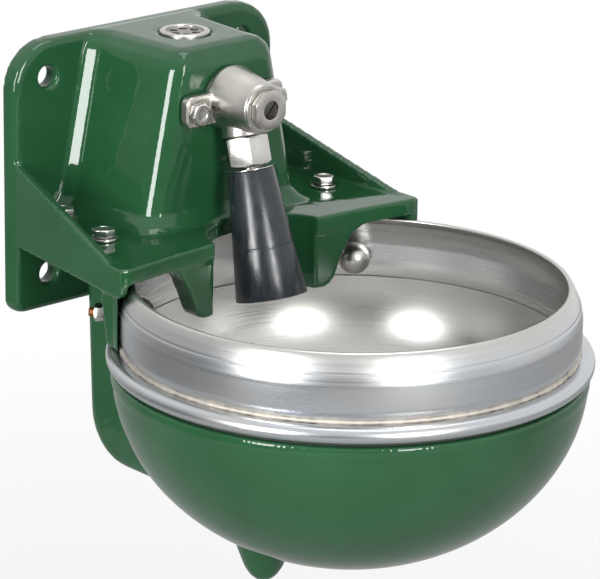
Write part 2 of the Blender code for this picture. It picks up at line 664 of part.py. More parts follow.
def outer_shell():
    """Cast shell under the bowl: half sphere, rear box, ears for the shelf bolts and two feet."""
    outside = [(0.0, SHELL_TOP)] + [(SHELL_RADIUS + 0.0006, SHELL_TOP), (SHELL_RADIUS + 0.0006, SHELL_TOP - SHELL_LIP)]
    outside += shell_profile(0.0)
    shell = piece("outer_shell", turned(outside, BIG_SIDES), ENAMEL)
    combine(shell, "join_box", rear_box(), "UNION")
    ear_half = EAR_HALF_WIDTH
    right = [(ear_half, EAR_BACK), (ear_half, EAR_FRONT + 0.005), (ear_half - 0.004, EAR_FRONT), (0.070, EAR_FRONT)]
    ears = prism(right + [(-x, y) for x, y in reversed(right)], SIDE_WALL_BOTTOM + 0.0005, EAR_TOP)
    combine(shell, "join_ears", ears, "UNION")
    foot = [(0, FOOT_TIP), (0.005, FOOT_TIP + 0.001), (0.0090, FOOT_TIP + 0.0045), (0.0125, FOOT_TIP + 0.010),
            (0.0170, FOOT_TIP + 0.022), (FOOT_HALF_WIDTH, FOOT_TIP + 0.032), (FOOT_HALF_WIDTH, FOOT_TIP + 0.046),
            (0, FOOT_TIP + 0.046)]
    feet = both_sides(placed(turned(foot, 16), Matrix.Translation((FOOT_X, FOOT_Y, 0))))
    combine(shell, "join_feet", feet, "UNION")
    inside = [(0.0, EAR_TOP + 0.010), (FLANGE_RADIUS + 0.0011, EAR_TOP + 0.010), (FLANGE_RADIUS + 0.0011, SHELL_TOP + 0.0002),
              (SHELL_RADIUS - SHELL_WALL, SHELL_TOP + 0.0002)] + shell_profile(SHELL_WALL)
    combine(shell, "cut_inside", turned(inside, BIG_SIDES), "DIFFERENCE")
    half = BOX_HALF_WIDTH - SHELL_WALL
    back = BOX_BACK - 0.004 - SHELL_WALL
    radius = BOX_BACK_ROUND - SHELL_WALL
    low = BOX_BOTTOM + SHELL_WALL
    outline = [(0.040, SHELL_TOP - 0.008), (0.040, low)]
    outline += arc((back - radius, low + radius), radius, -math.pi / 2, 0, 4) + [(back, SHELL_TOP - 0.008)]
    combine(shell, "cut_box", prism(outline, -half, half, "X"), "DIFFERENCE")
    holes = [placed(rod(M8_TAPPED / 2, SIDE_WALL_BOTTOM - 0.004, EAR_TOP + 0.004, 16), Matrix.Translation((x, y, 0)))
             for x, y in bolt_places()]
    combine(shell, "cut_ear_holes", merged(holes), "DIFFERENCE")


# Fasteners
def hexagon_bolt(flats, head, shank, length, sides=12):
    """Bolt about Z: bearing face at z = 0, head above it, shank below."""
    chamfer = 0.14 * head
    rings = [circle_ring(shank / 2 - 0.0005, -length, sides), circle_ring(shank / 2, -length + 0.0006, sides),
             circle_ring(shank / 2, 0, sides), hexagon_ring(flats, 0, sides), hexagon_ring(flats, head - chamfer, sides),
             hexagon_ring(flats, head, sides, limit=0.48 * flats)]
    return loft(rings)


def shelf_fasteners():
    """Four bolts and washers that hang the shell under the shelf."""
    washer_low = SHELF_TOP + SEAT_GAP
    head_low = washer_low + WASHER_THICKNESS + SEAT_GAP
    length = head_low - (SIDE_WALL_BOTTOM + 0.0012)
    bolt_mesh = None
    washer_mesh = None
    for name, (x, y) in zip(("front_left", "front_right", "rear_left", "rear_right"), bolt_places()):
        solid = hexagon_bolt(M8_FLATS, M8_HEAD, M8_SHANK, length) if bolt_mesh is None else None
        bolt = piece("shelf_bolt_" + name, solid, ZINC, mesh=bolt_mesh)
        bolt.location = (x, y, head_low)
        bolt_mesh = bolt.data
        inner = M8_SHANK / 2 + SEAT_GAP
        ring = [(inner, 0), (WASHER_WIDTH / 2, 0), (WASHER_WIDTH / 2, WASHER_THICKNESS), (inner, WASHER_THICKNESS)]
        solid = turned(ring, SMALL_SIDES) if washer_mesh is None else None
        washer = piece("shelf_washer_" + name, solid, ZINC, mesh=washer_mesh)
        washer.location = (x, y, washer_low)
        washer_mesh = washer.data


def ball_fasteners():
    """Ball-headed bolts with soft washers inside the bowl, washers and nuts outside the legs."""
    wall_inside = (COLLAR_RADIUS - SHEET) * math.cos(math.pi / BIG_SIDES) - SEAT_GAP
    soft_low = wall_inside - 0.0012
    ball_foot = soft_low - SEAT_GAP
    ball_centre = ball_foot - math.sqrt(BALL_RADIUS ** 2 - BALL_NECK ** 2)
    washer_low = SPOT_FACE_REACH + SEAT_GAP
    nut_low = washer_low + 0.0012 + SEAT_GAP
    nut_high = nut_low + M6_NUT
    shank = M6_SHANK / 2
    meshes = {}
    for side, azimuth in (("left", math.pi - BALL_BOLT_AZIMUTH), ("right", BALL_BOLT_AZIMUTH)):
        solids = {"ball_bolt": None, "ball_washer": None, "leg_washer": None, "leg_nut": None}
        if not meshes:
            end = math.asin(BALL_NECK / BALL_RADIUS)
            ball = [(BALL_RADIUS * math.sin(turn), ball_centre - BALL_RADIUS * math.cos(turn))
                    for turn in [(math.pi - end) * step / 6 for step in range(7)]]
            ball[0] = (0.0, ball_centre - BALL_RADIUS)
            tail = [(shank, ball_foot), (shank, nut_high + 0.003), (shank - 0.0006, nut_high + 0.0036), (0, nut_high + 0.0036)]
            solids["ball_bolt"] = turned(ball + tail, SMALL_SIDES)
            bore = shank + SEAT_GAP
            solids["ball_washer"] = turned([(bore, soft_low), (0.0062, soft_low), (0.0062, wall_inside), (bore, wall_inside)],
                                           SMALL_SIDES)
            solids["leg_washer"] = turned([(bore, washer_low), (0.0062, washer_low), (0.0062, washer_low + 0.0012),
                                           (bore, washer_low + 0.0012)], SMALL_SIDES)
            solids["leg_nut"] = loft([circle_ring(bore, nut_low, 12), hexagon_ring(M6_FLATS, nut_low, 12),
                                      hexagon_ring(M6_FLATS, nut_high - 0.0006, 12),
                                      hexagon_ring(M6_FLATS, nut_high, 12, limit=0.48 * M6_FLATS),
                                      circle_ring(bore, nut_high, 12)], hollow=True)
        finishes = {"ball_bolt": STAINLESS, "ball_washer": RUBBER, "leg_washer": ZINC, "leg_nut": ZINC}
        for kind, finish in finishes.items():
            made = piece(kind + "_" + side, solids[kind], finish, mesh=meshes.get(kind))
            made.matrix_local = radial(azimuth, BALL_BOLT_HEIGHT)
            meshes[kind] = made.data


# Inlet
def inlet():
    """Threaded bush in the tower top, its seal ring and the perforated strainer."""
    axis = Matrix.Translation((0, INLET_Y, 0))
    top = TOWER_TOP + INLET_PROUD
    low = top - INLET_BUSH_HEIGHT
    ledge = top - STRAINER_SET_BACK - STRAINER_THICKNESS - SEAT_GAP
    outer, wide, narrow = INLET_BUSH_RADIUS, INLET_THREAD_RADIUS, INLET_LEDGE_RADIUS
    bush = [(narrow, low), (outer, low), (outer, top - 0.0006), (outer - 0.0008, top), (wide, top), (wide, ledge), (narrow, ledge)]
    piece("inlet_bush", placed(turned(bush, MEDIUM_SIDES), axis), VALVE_STEEL)
    seal_high = low - SEAT_GAP
    ring = [(narrow + 0.0005, seal_high - GASKET_THICKNESS), (outer - 0.0005, seal_high - GASKET_THICKNESS),
            (outer - 0.0005, seal_high), (narrow + 0.0005, seal_high)]
    piece("inlet_seal", placed(turned(ring, MEDIUM_SIDES), axis), RUBBER)
    disc_low = ledge + SEAT_GAP
    disc_high = disc_low + STRAINER_THICKNESS
    disc = [(0, disc_low), (wide - SEAT_GAP, disc_low), (wide - SEAT_GAP, disc_high), (wide - 0.0020, disc_high),
            (wide - 0.0026, disc_high - 0.0006), (0.0024, disc_high - 0.0006), (0.0016, disc_high), (0, disc_high)]
    strainer = piece("inlet_strainer", placed(turned(disc, MEDIUM_SIDES), axis), VALVE_STEEL)
    holes = []
    for step in range(STRAINER_HOLES):
        x, y = arc((0, INLET_Y), STRAINER_HOLE_CIRCLE, 0, math.tau, STRAINER_HOLES)[step]
        holes.append(placed(rod(STRAINER_HOLE_RADIUS, disc_low - 0.002, disc_high + 0.002, 8), Matrix.Translation((x, y, 0))))
    combine(strainer, "cut_strainer_holes", merged(holes), "DIFFERENCE")


# Tube valve
def valve_body():
    """Barrel with two lugs and a slanted branch, with its bores."""
    barrel = [(0, BARREL_FRONT), (BARREL_FRONT_RADIUS - 0.0012, BARREL_FRONT), (BARREL_FRONT_RADIUS, BARREL_FRONT + 0.0012),
              (BARREL_FRONT_RADIUS + 0.0008, LUG_FRONT - 0.009), (BARREL_FRONT_RADIUS + 0.0024, LUG_FRONT - 0.004),
              (BARREL_REAR_RADIUS - 0.0014, LUG_FRONT + 0.0002), (BARREL_REAR_RADIUS, LUG_FRONT + 0.0026),
              (BARREL_REAR_RADIUS, LUG_BACK), (0, LUG_BACK)]
    body = piece("valve_body", along_y(turned(barrel, MEDIUM_SIDES)), VALVE_STEEL, BARREL)
    low, high = LUG_CORNER - LUG_HALF_HEIGHT - LUG_DROP, LUG_HALF_HEIGHT - LUG_CORNER - LUG_DROP
    right = arc((LUG_END - LUG_CORNER, low), LUG_CORNER, -math.pi / 2, 0, 3)
    right += arc((LUG_END - LUG_CORNER, high), LUG_CORNER, 0, math.pi / 2, 3)
    lugs = prism(right + [(-x, z) for x, z in reversed(right)], LUG_FRONT, LUG_BACK - 0.0002, "Y")
    edges = [edge for edge in lugs.edges if all(vert.co.y < LUG_FRONT + 1e-6 for vert in edge.verts)]
    bmesh.ops.bevel(lugs, geom=edges, offset=0.0014, segments=2, profile=0.5, affect="EDGES", material=-1)
    combine(body, "join_lugs", lugs, "UNION")
    slant = Matrix.Translation((0, BRANCH_Y, 0)) @ BRANCH_UP
    branch = [(0, -0.002), (BRANCH_TOP_RADIUS - 0.004, -0.002), (BRANCH_TOP_RADIUS, -0.014),
              (BRANCH_SHOULDER_RADIUS, -BRANCH_SHOULDER), (BRANCH_THREAD_RADIUS, -BRANCH_SHOULDER - 0.0002),
              (BRANCH_THREAD_RADIUS, -BRANCH_END), (0, -BRANCH_END)]
    combine(body, "join_branch", placed(turned(branch, MEDIUM_SIDES), slant), "UNION")
    bore = [(0, BARREL_FRONT - 0.002), (CAP_THREAD_RADIUS, BARREL_FRONT - 0.002), (CAP_THREAD_RADIUS, BARREL_FRONT + CAP_THREAD_LENGTH + 0.001),
            (BARREL_BORE, BARREL_FRONT + CAP_THREAD_LENGTH + 0.001), (BARREL_BORE, LUG_BACK - 0.0035), (PORT_RADIUS, LUG_BACK - 0.0035),
            (PORT_RADIUS, LUG_BACK + 0.002), (0, LUG_BACK + 0.002)]
    combine(body, "cut_barrel", along_y(turned(bore, SMALL_SIDES)), "DIFFERENCE")
    drop = [(0, 0.0), (BRANCH_BORE, 0.0), (BRANCH_BORE, SEAT_GAP - SEAT_TOP), (SEAT_BORE, SEAT_GAP - SEAT_TOP),
            (SEAT_BORE, -BRANCH_END - 0.002), (0, -BRANCH_END - 0.002)]
    combine(body, "cut_branch", placed(turned(drop, SMALL_SIDES), slant), "DIFFERENCE")
    holes = [along_y(rod(M8_HOLE / 2, LUG_FRONT - 0.003, LUG_BACK + 0.003, 16), -LUG_DROP, side * LUG_X) for side in (-1, 1)]
    combine(body, "cut_lug_holes", merged(holes), "DIFFERENCE")


def valve_outside():
    """Gasket, lug bolts, cap with its ring, and the slotted regulating screw."""
    low = LUG_BACK + SEAT_GAP
    ring = [(PORT_RADIUS + 0.001, low), (BARREL_REAR_RADIUS - 0.001, low), (BARREL_REAR_RADIUS - 0.001, low + VALVE_GASKET),
            (PORT_RADIUS + 0.001, low + VALVE_GASKET)]
    piece("valve_gasket", along_y(turned(ring, MEDIUM_SIDES)), RUBBER, BARREL)
    for side, x in (("left", -LUG_X), ("right", LUG_X)):
        solid = hexagon_bolt(M8_FLATS, M8_HEAD, M8_SHANK, 0.016)
        outward = Matrix.Translation((x, LUG_FRONT - SEAT_GAP, -LUG_DROP)) @ Matrix.Rotation(math.pi / 2, 4, "X")
        piece("valve_bolt_" + side, placed(solid, outward), ZINC, BARREL)
    inner, outer = CAP_THREAD_RADIUS + 0.0004, CAP_RING_RADIUS
    low = CAP_BACK + SEAT_GAP
    ring = [(inner, low), (outer, low), (outer, low + CAP_RING), (inner, low + CAP_RING)]
    piece("cap_ring", along_y(turned(ring, MEDIUM_SIDES)), ZINC, BARREL)
    end = BARREL_FRONT + CAP_THREAD_LENGTH
    recess = CAP_FRONT + 0.0042
    bore = SCREW_RADIUS + SEAT_GAP
    pocket = 0.0046
    sides = 12
    turn = math.radians(7)
    rings = [hexagon_ring(CAP_FLATS, CAP_FRONT, sides, turn, 0.525 * CAP_FLATS),
             hexagon_ring(CAP_FLATS, CAP_FRONT + 0.0008, sides, turn), hexagon_ring(CAP_FLATS, CAP_BACK, sides, turn)]
    steps = [(CAP_THREAD_RADIUS - SEAT_GAP, CAP_BACK), (CAP_THREAD_RADIUS - SEAT_GAP, end), (pocket, end),
             (pocket, end - 0.0035), (bore, end - 0.0035), (bore, recess), (SCREW_HEAD_RADIUS + SEAT_GAP, recess),
             (SCREW_HEAD_RADIUS + SEAT_GAP, CAP_FRONT)]
    rings += [circle_ring(radius, level, sides) for radius, level in steps]
    piece("valve_cap", along_y(loft(rings, hollow=True)), VALVE_STEEL, BARREL)
    seal = [(bore, end - 0.003), (pocket - SEAT_GAP, end - 0.003), (pocket - SEAT_GAP, end - 0.0008), (bore, end - 0.0008)]
    piece("screw_seal", along_y(turned(seal, SMALL_SIDES)), RUBBER, BARREL)
    face = CAP_FRONT + 0.0006
    spindle = [(0, face), (SCREW_HEAD_RADIUS - 0.0004, face), (SCREW_HEAD_RADIUS, face + 0.0004),
               (SCREW_HEAD_RADIUS, recess - SEAT_GAP), (SCREW_RADIUS, recess - SEAT_GAP), (SCREW_RADIUS, LUG_BACK - 0.0085),
               (0.0008, LUG_BACK - 0.004), (0, LUG_BACK - 0.004)]
    screw = piece("regulating_screw", along_y(turned(spindle, SMALL_SIDES)), DARK_STEEL, BARREL)
    half = SCREW_SLOT / 2
    slot = prism([(-0.006, -half), (0.006, -half), (0.006, half), (-0.006, half)], face - 0.002, face + 0.0012, "Y")
    combine(screw, "cut_slot", placed(slot, Matrix.Rotation(SCREW_SLOT_TURN, 4, "Y")), "DIFFERENCE")


def valve_inside():
    """Seat, pin, seal disc and closing spring in the branch."""
    seat = [(SEAT_OPENING, -SEAT_TOP - 0.0004), (SEAT_OPENING + 0.0009, -SEAT_TOP), (SEAT_BORE - SEAT_GAP, -SEAT_TOP),
            (SEAT_BORE - SEAT_GAP, -SEAT_TOP - SEAT_THICKNESS), (SEAT_OPENING, -SEAT_TOP - SEAT_THICKNESS)]
    piece("valve_seat", turned(seat, SMALL_SIDES), BRASS, BRANCH)
    seal_low = SEAT_GAP - SEAT_TOP
    seal_high = seal_low + PIN_SEAL
    inner = PIN_RADIUS + SEAT_GAP
    ring = [(inner, seal_low), (PIN_HEAD_RADIUS, seal_low), (PIN_HEAD_RADIUS, seal_high), (inner, seal_high)]
    piece("pin_seal", turned(ring, SMALL_SIDES), RUBBER, BRANCH)
    head_low = seal_high + SEAT_GAP
    foot_low = -PIN_FOOT_BOTTOM
    foot_high = foot_low + PIN_FOOT
    pin = [(0, head_low + PIN_HEAD), (PIN_HEAD_RADIUS - 0.0006, head_low + PIN_HEAD), (PIN_HEAD_RADIUS, head_low + PIN_HEAD - 0.0006),
           (PIN_HEAD_RADIUS, head_low), (PIN_RADIUS, head_low), (PIN_RADIUS, foot_high), (PIN_FOOT_RADIUS, foot_high),
           (PIN_FOOT_RADIUS, foot_low), (0, foot_low)]
    piece("valve_pin", turned(pin, SMALL_SIDES), STAINLESS, BRANCH)
    high = -SEAT_TOP - SEAT_THICKNESS - SEAT_GAP - SPRING_WIRE
    low = foot_high + SEAT_GAP + SPRING_WIRE
    steps = SPRING_TURNS * 10
    rings = []
    for step in range(steps + 1):
        turn = math.tau * SPRING_TURNS * step / steps
        centre = Vector((SPRING_RADIUS * math.cos(turn), SPRING_RADIUS * math.sin(turn), low + (high - low) * step / steps))
        outward = Vector((math.cos(turn), math.sin(turn), 0))
        rings.append([centre + SPRING_WIRE * (math.cos(around) * outward + math.sin(around) * Vector((0, 0, 1)))
                      for around in [math.tau * corner / 5 for corner in range(5)]])
    piece("valve_spring", loft(rings), STAINLESS, BRANCH)


def union_nut():
    """Hexagon nut whose conical floor carries the pivot ball."""
    top = -BRANCH_SHOULDER - SEAT_GAP - 0.0002
    low = -NUT_BOTTOM
    floor = low + 0.0012
    cone = low + 0.005
    turn = math.radians(-3)
    sides = MEDIUM_SIDES
    rings = [hexagon_ring(NUT_FLATS, top, sides, turn, 0.495 * NUT_FLATS), hexagon_ring(NUT_FLATS, top - 0.0009, sides, turn),
             hexagon_ring(NUT_FLATS, low + 0.0018, sides, turn), hexagon_ring(NUT_FLATS, low, sides, turn, 0.45 * NUT_FLATS)]
    steps = [(NUT_MOUTH, low), (NUT_MOUTH, floor), (NUT_BORE, cone), (NUT_BORE, top)]
    rings += [circle_ring(radius, level, sides) for radius, level in steps]
    piece("union_nut", loft(rings, hollow=True), ZINC, BRANCH)


def drinking_tube():
    """Pivot ball, bright sleeve with its ring, and the black conical tube, all about the pivot."""
    reach = math.asin(PIVOT_BALL_TOP / PIVOT_BALL_RADIUS)
    depth = math.asin(PIVOT_BALL_FOOT / PIVOT_BALL_RADIUS)
    ball = arc((0, 0), PIVOT_BALL_RADIUS, reach, -depth, 5)
    ball += [(PIVOT_BALL_BORE, -PIVOT_BALL_FOOT), (PIVOT_BALL_BORE, PIVOT_BALL_TOP)]
    piece("pivot_ball", turned(ball, SMALL_SIDES), STAINLESS, TUBE_PIVOT)
    top = PIVOT_BALL_TOP - SEAT_GAP
    ring_top, ring_low = PIVOT - SLEEVE_RING_TOP, PIVOT - SLEEVE_RING_TOP - SLEEVE_RING
    end = PIVOT - SLEEVE_END
    sleeve = [(SLEEVE_BORE, top), (SLEEVE_RADIUS, top), (SLEEVE_RADIUS, ring_top), (SLEEVE_RING_RADIUS, ring_top),
              (SLEEVE_RING_RADIUS, ring_low), (SLEEVE_RADIUS, ring_low), (SLEEVE_RADIUS, end), (SLEEVE_BORE, end)]
    piece("tube_sleeve", turned(sleeve, SMALL_SIDES), STAINLESS, TUBE_PIVOT)
    high = PIVOT - TUBE_TOP
    low = high - TUBE_LENGTH
    crown = PIVOT - SLEEVE_END - 0.002
    slope = (TUBE_BOTTOM_RADIUS - TUBE_TOP_RADIUS) / TUBE_LENGTH
    socket = SLEEVE_RADIUS + SEAT_GAP
    tube = [(socket, high), (TUBE_TOP_RADIUS - 0.0006, high), (TUBE_TOP_RADIUS, high - 0.0006), (TUBE_BOTTOM_RADIUS, low + 0.001),
            (TUBE_BOTTOM_RADIUS - 0.0008, low), (TUBE_BOTTOM_RADIUS - TUBE_WALL + 0.0006, low),
            (TUBE_TOP_RADIUS - TUBE_WALL + slope * (high - crown), crown), (socket, crown)]
    piece("drinking_tube", turned(tube, MEDIUM_SIDES), BLACK_TUBE, TUBE_PIVOT)


bracket_casting()
bowl_collar()
bowl_dish()
shell_gasket()
outer_shell()
shelf_fasteners()
ball_fasteners()
inlet()
valve_body()
valve_outside()
valve_inside()
union_nut()
drinking_tube()
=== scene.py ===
"""Dressed model of a wall-mounted livestock drinking bowl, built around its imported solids."""
import json
import math

import bmesh
import bpy
from bpy.props import FloatProperty, FloatVectorProperty, IntProperty, PointerProperty
from mathutils import Matrix, Vector


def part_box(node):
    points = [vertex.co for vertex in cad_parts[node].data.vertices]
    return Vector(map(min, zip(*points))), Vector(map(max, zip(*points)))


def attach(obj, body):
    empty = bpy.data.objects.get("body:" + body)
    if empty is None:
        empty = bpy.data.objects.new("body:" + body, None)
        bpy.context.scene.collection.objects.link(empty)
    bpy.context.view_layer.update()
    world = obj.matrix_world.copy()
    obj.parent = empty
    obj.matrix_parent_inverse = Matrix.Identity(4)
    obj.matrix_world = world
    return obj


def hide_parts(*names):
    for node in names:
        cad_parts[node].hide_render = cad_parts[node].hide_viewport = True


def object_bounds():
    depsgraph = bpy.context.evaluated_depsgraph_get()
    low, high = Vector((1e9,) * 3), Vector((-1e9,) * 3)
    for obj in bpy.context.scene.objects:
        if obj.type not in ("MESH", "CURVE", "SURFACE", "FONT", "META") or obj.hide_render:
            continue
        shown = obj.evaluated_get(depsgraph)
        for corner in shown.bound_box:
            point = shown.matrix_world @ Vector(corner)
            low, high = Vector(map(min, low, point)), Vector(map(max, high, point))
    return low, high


bl_info = {
    "name": "Livestock drinking bowl",
    "version": (1, 0, 0),
    "blender": (4, 5, 0),
    "location": "3D View > Sidebar > Drinking bowl",
    "description": "Builds the enamelled bracket, steel bowl and tube valve of a livestock drinking bowl",
    "category": "Add Mesh",
}

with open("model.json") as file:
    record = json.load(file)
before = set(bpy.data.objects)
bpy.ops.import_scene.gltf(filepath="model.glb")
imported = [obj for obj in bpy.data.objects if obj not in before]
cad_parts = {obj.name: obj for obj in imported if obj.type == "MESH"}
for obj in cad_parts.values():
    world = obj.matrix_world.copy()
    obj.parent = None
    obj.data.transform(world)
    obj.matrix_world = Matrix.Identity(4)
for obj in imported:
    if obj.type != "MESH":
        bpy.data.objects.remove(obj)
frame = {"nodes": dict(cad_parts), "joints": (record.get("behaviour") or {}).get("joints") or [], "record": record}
SOLID_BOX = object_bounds()

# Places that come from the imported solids
COLLAR_LOW, COLLAR_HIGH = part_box("bowl_collar")
DISH_LOW, DISH_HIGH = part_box("bowl_dish")
GASKET_LOW, GASKET_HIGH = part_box("shell_gasket")
BUSH_LOW, BUSH_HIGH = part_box("inlet_bush")
STRAINER_LOW, STRAINER_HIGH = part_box("inlet_strainer")
BODY_LOW, BODY_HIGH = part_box("valve_body")
CAP_LOW, CAP_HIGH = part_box("valve_cap")
RING_LOW, RING_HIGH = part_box("cap_ring")
SCREW_LOW, SCREW_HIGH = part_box("regulating_screw")
JOINTS = {joint["name"]: joint for joint in frame["joints"]}
RIM_Z = COLLAR_HIGH.z
BOWL_TOP = Vector((0.0, (DISH_LOW.y + DISH_HIGH.y) / 2, RIM_Z))
COLLAR_RADIUS = (COLLAR_HIGH.x - COLLAR_LOW.x) / 2
COLLAR_FOOT = COLLAR_LOW.z - RIM_Z
FLANGE_RADIUS = (DISH_HIGH.x - DISH_LOW.x) / 2
FLANGE_TOP = DISH_HIGH.z - RIM_Z
BARREL_Z = (RING_LOW.z + RING_HIGH.z) / 2
PIVOT = Vector(JOINTS["tube_push"]["pos_m"])
BRANCH_UP = Vector(JOINTS["pin_lift"]["axis"])
MAIN_BODY = "bowl_and_bracket"

# Sizes of castings, bowl and inlet, in metres
PIECE_GAP = 0.0003
CUT_PAST = 0.001
ENAMEL_WAVE = 0.0008
# Radii over which the steel's painted reflection tint turns from warm inside to cool outside
REFLECTION_WARM_TO = 0.1365
REFLECTION_COOL_FROM = 0.1405
GROOVE_INSIDE = 0.0158
GROOVE_OUTSIDE = 0.0174
GROOVE_DEPTH = 0.0030
SHELL_DEPTH = 0.122
SHELL_FLANGE = 0.0022
COLLAR_STEP = 0.009
COLLAR_FOOT_STEP = 0.0024
FLANGE_ROLL = 0.0052
BUSH_RADIUS = 0.016
BUSH_BORE = 0.012
STRAINER_RADIUS = 0.0117
STRAINER_HOLES = 6
STRAINER_HOLE = 0.0027
STRAINER_CIRCLE = 0.0075

# The valve; heights along its slanted branch count from the pivot
LUG_WIDTH = 0.079
LUG_HEIGHT = 0.0204
LUG_THICKNESS = 0.006
LUG_DROP = 0.0032
LUG_BOLT_X = 0.0315
BARREL_FRONT = 0.0154
BARREL_BACK = 0.0212
CAP_FLATS = 0.0240
CAP_THICKNESS = 0.0046
CAP_THREAD = 0.0099
NUT_FLATS = 0.026
NUT_TOP = 0.0125
NUT_FOOT = -0.0065
SCREW_TURN = math.radians(-49)

# The tube and its sleeve; heights count from the pivot, along the tube
TUBE_TOP = -0.0092
TUBE_FOOT = -0.0902
TUBE_TOP_RADIUS = 0.0145
TUBE_FOOT_RADIUS = 0.0228
TUBE_WALL = 0.003
TUBE_ROOF = 0.0056
SLEEVE_TOP = 0.0042
SLEEVE_FOOT = -0.0175
SLEEVE_RING_TOP = -0.0082
SLEEVE_RING_FOOT = -0.0089
SLEEVE_RING_RADIUS = 0.0142

# Hexagon bolts and washers, in metres
BOLT_FLATS = 0.013
BOLT_HEAD = 0.0053
BOLT_RADIUS = 0.004
BOLT_LENGTH = 0.016
WASHER_BORE = 0.0043
WASHER_RADIUS = 0.009
WASHER_THICKNESS = 0.0016

# Bolts with ball heads, counted from the bowl's axis
BALL_AZIMUTH = math.radians(46.8)
BALL_DROP = 0.0275
BALL_RADIUS = 0.0104
BALL_FOOT = 0.1379
BALL_CENTRE = 0.1314
BALL_SHANK = 0.003
LEG_BOLT_BORE = 0.0033
LEG_WASHER = 0.1511
LEG_NUT = 0.1526
LEG_NUT_END = 0.1586
LEG_NUT_FLATS = 0.010

# The photograph's camera
IMAGE_WIDTH = 600
FOCAL_PIXELS = 3762.0
CAMERA_AZIMUTH = math.radians(41.82)
CAMERA_ELEVATION = math.radians(18.26)
CAMERA_ROLL = math.radians(0.88)
CAMERA_DISTANCE = 2.300
CAMERA_RIGHT = 0.03153
CAMERA_DOWN = 0.00601

# Softboxes: degrees from the camera's side, degrees up, width, height, watts
LAMPS = {
    "left_light": (-38.0, 12.0, 0.60, 1.3, 46.0),
    "right_light": (28.0, 13.0, 0.55, 1.2, 33.0),
    "top_light": (150.0, 78.0, 1.2, 1.2, 14.0),
}
LAMP_DISTANCE = 2.3
FLOOR_RADIUS = 1.5
FLOOR_DROP = 0.16


# Small tools for node materials
def add(tree, kind, inputs=None, **settings):
    """Add a node; an input that is given as a socket is linked, any other is set."""
    node = tree.nodes.new(kind)
    for name, value in settings.items():
        setattr(node, name, value)
    for name, value in (inputs or {}).items():
        if isinstance(value, bpy.types.NodeSocket):
            tree.links.new(value, node.inputs[name])
        else:
            node.inputs[name].default_value = value
    return node


def maths(tree, operation, *values):
    """Result of a calculation with numbers."""
    return add(tree, "ShaderNodeMath", dict(enumerate(values)), operation=operation).outputs[0]


def vector_maths(tree, operation, *values, result="Vector"):
    """Result of a calculation with vectors, which is a number where the result is called Value."""
    made = add(tree, "ShaderNodeVectorMath", dict(enumerate(values)), operation=operation)
    return made.outputs[result]


def principled(name):
    """New material; returns it with its tree and its Principled node."""
    made = bpy.data.materials.new(name)
    made.use_nodes = True
    return made, made.node_tree, made.node_tree.nodes["Principled BSDF"]


def object_place(tree, centre=(0.0, 0.0, 0.0)):
    """Object coordinates, counted from a centre."""
    return vector_maths(tree, "SUBTRACT", add(tree, "ShaderNodeTexCoord").outputs["Object"], centre)


def axis_distance(tree, place):
    """Distance from the upright axis."""
    level = vector_maths(tree, "MULTIPLY", place, (1.0, 1.0, 0.0))
    return vector_maths(tree, "LENGTH", level, result="Value")


def noise(tree, vector, scale, detail=3.0, roughness=0.5):
    """Grey noise."""
    settings = {"Vector": vector, "Scale": scale, "Detail": detail, "Roughness": roughness}
    return add(tree, "ShaderNodeTexNoise", settings).outputs["Fac"]


def spread(tree, value, low, high, from_low=0.3, from_high=0.7):
    """Map a grey value to a range."""
    made = add(tree, "ShaderNodeMapRange", {"Value": value, "From Min": from_low, "From Max": from_high,
                                            "To Min": low, "To Max": high})
    return made.outputs["Result"]


def blend(tree, factor, first, second):
    """Mix two colours."""
    made = add(tree, "ShaderNodeMix", data_type="RGBA")
    for socket, value in ((made.inputs[0], factor), (made.inputs[6], first), (made.inputs[7], second)):
        if isinstance(value, bpy.types.NodeSocket):
            tree.links.new(value, socket)
        else:
            socket.default_value = value if isinstance(value, float) else (*value, 1.0)
    return made.outputs[2]


def tinted(colour, *shares):
    """A colour whose channels are multiplied, by one share or by three."""
    shares = shares * 3 if len(shares) == 1 else shares
    return [channel * share for channel, share in zip(colour, shares)]


def bump(tree, height, distance, strength=1.0):
    """Bump from a grey value, its distance in metres."""
    made = add(tree, "ShaderNodeBump", {"Height": height, "Distance": distance, "Strength": strength})
    return made.outputs["Normal"]


def wire(tree, socket, shader, name):
    """Link a socket to a shader's input."""
    tree.links.new(socket, shader.inputs[name])


def enamel_finish(colour, deep):
    """Glossy green enamel on cast iron: slightly wavy skin, slightly darker clouds."""
    made, tree, shader = principled("glossy_enamel")
    place = object_place(tree)
    clouds = spread(tree, noise(tree, place, 22.0, 4.0, 0.55), 0.0, 1.0)
    wire(tree, blend(tree, clouds, deep, colour), shader, "Base Color")
    wire(tree, spread(tree, noise(tree, place, 60.0, 2.0), 0.03, 0.07), shader, "Roughness")
    wave = maths(tree, "MULTIPLY_ADD", noise(tree, place, 95.0, 1.0), 0.6, noise(tree, place, 34.0, 1.0))
    wire(tree, bump(tree, wave, ENAMEL_WAVE, 0.22), shader, "Normal")
    shader.inputs["Specular IOR Level"].default_value = 0.45
    return made


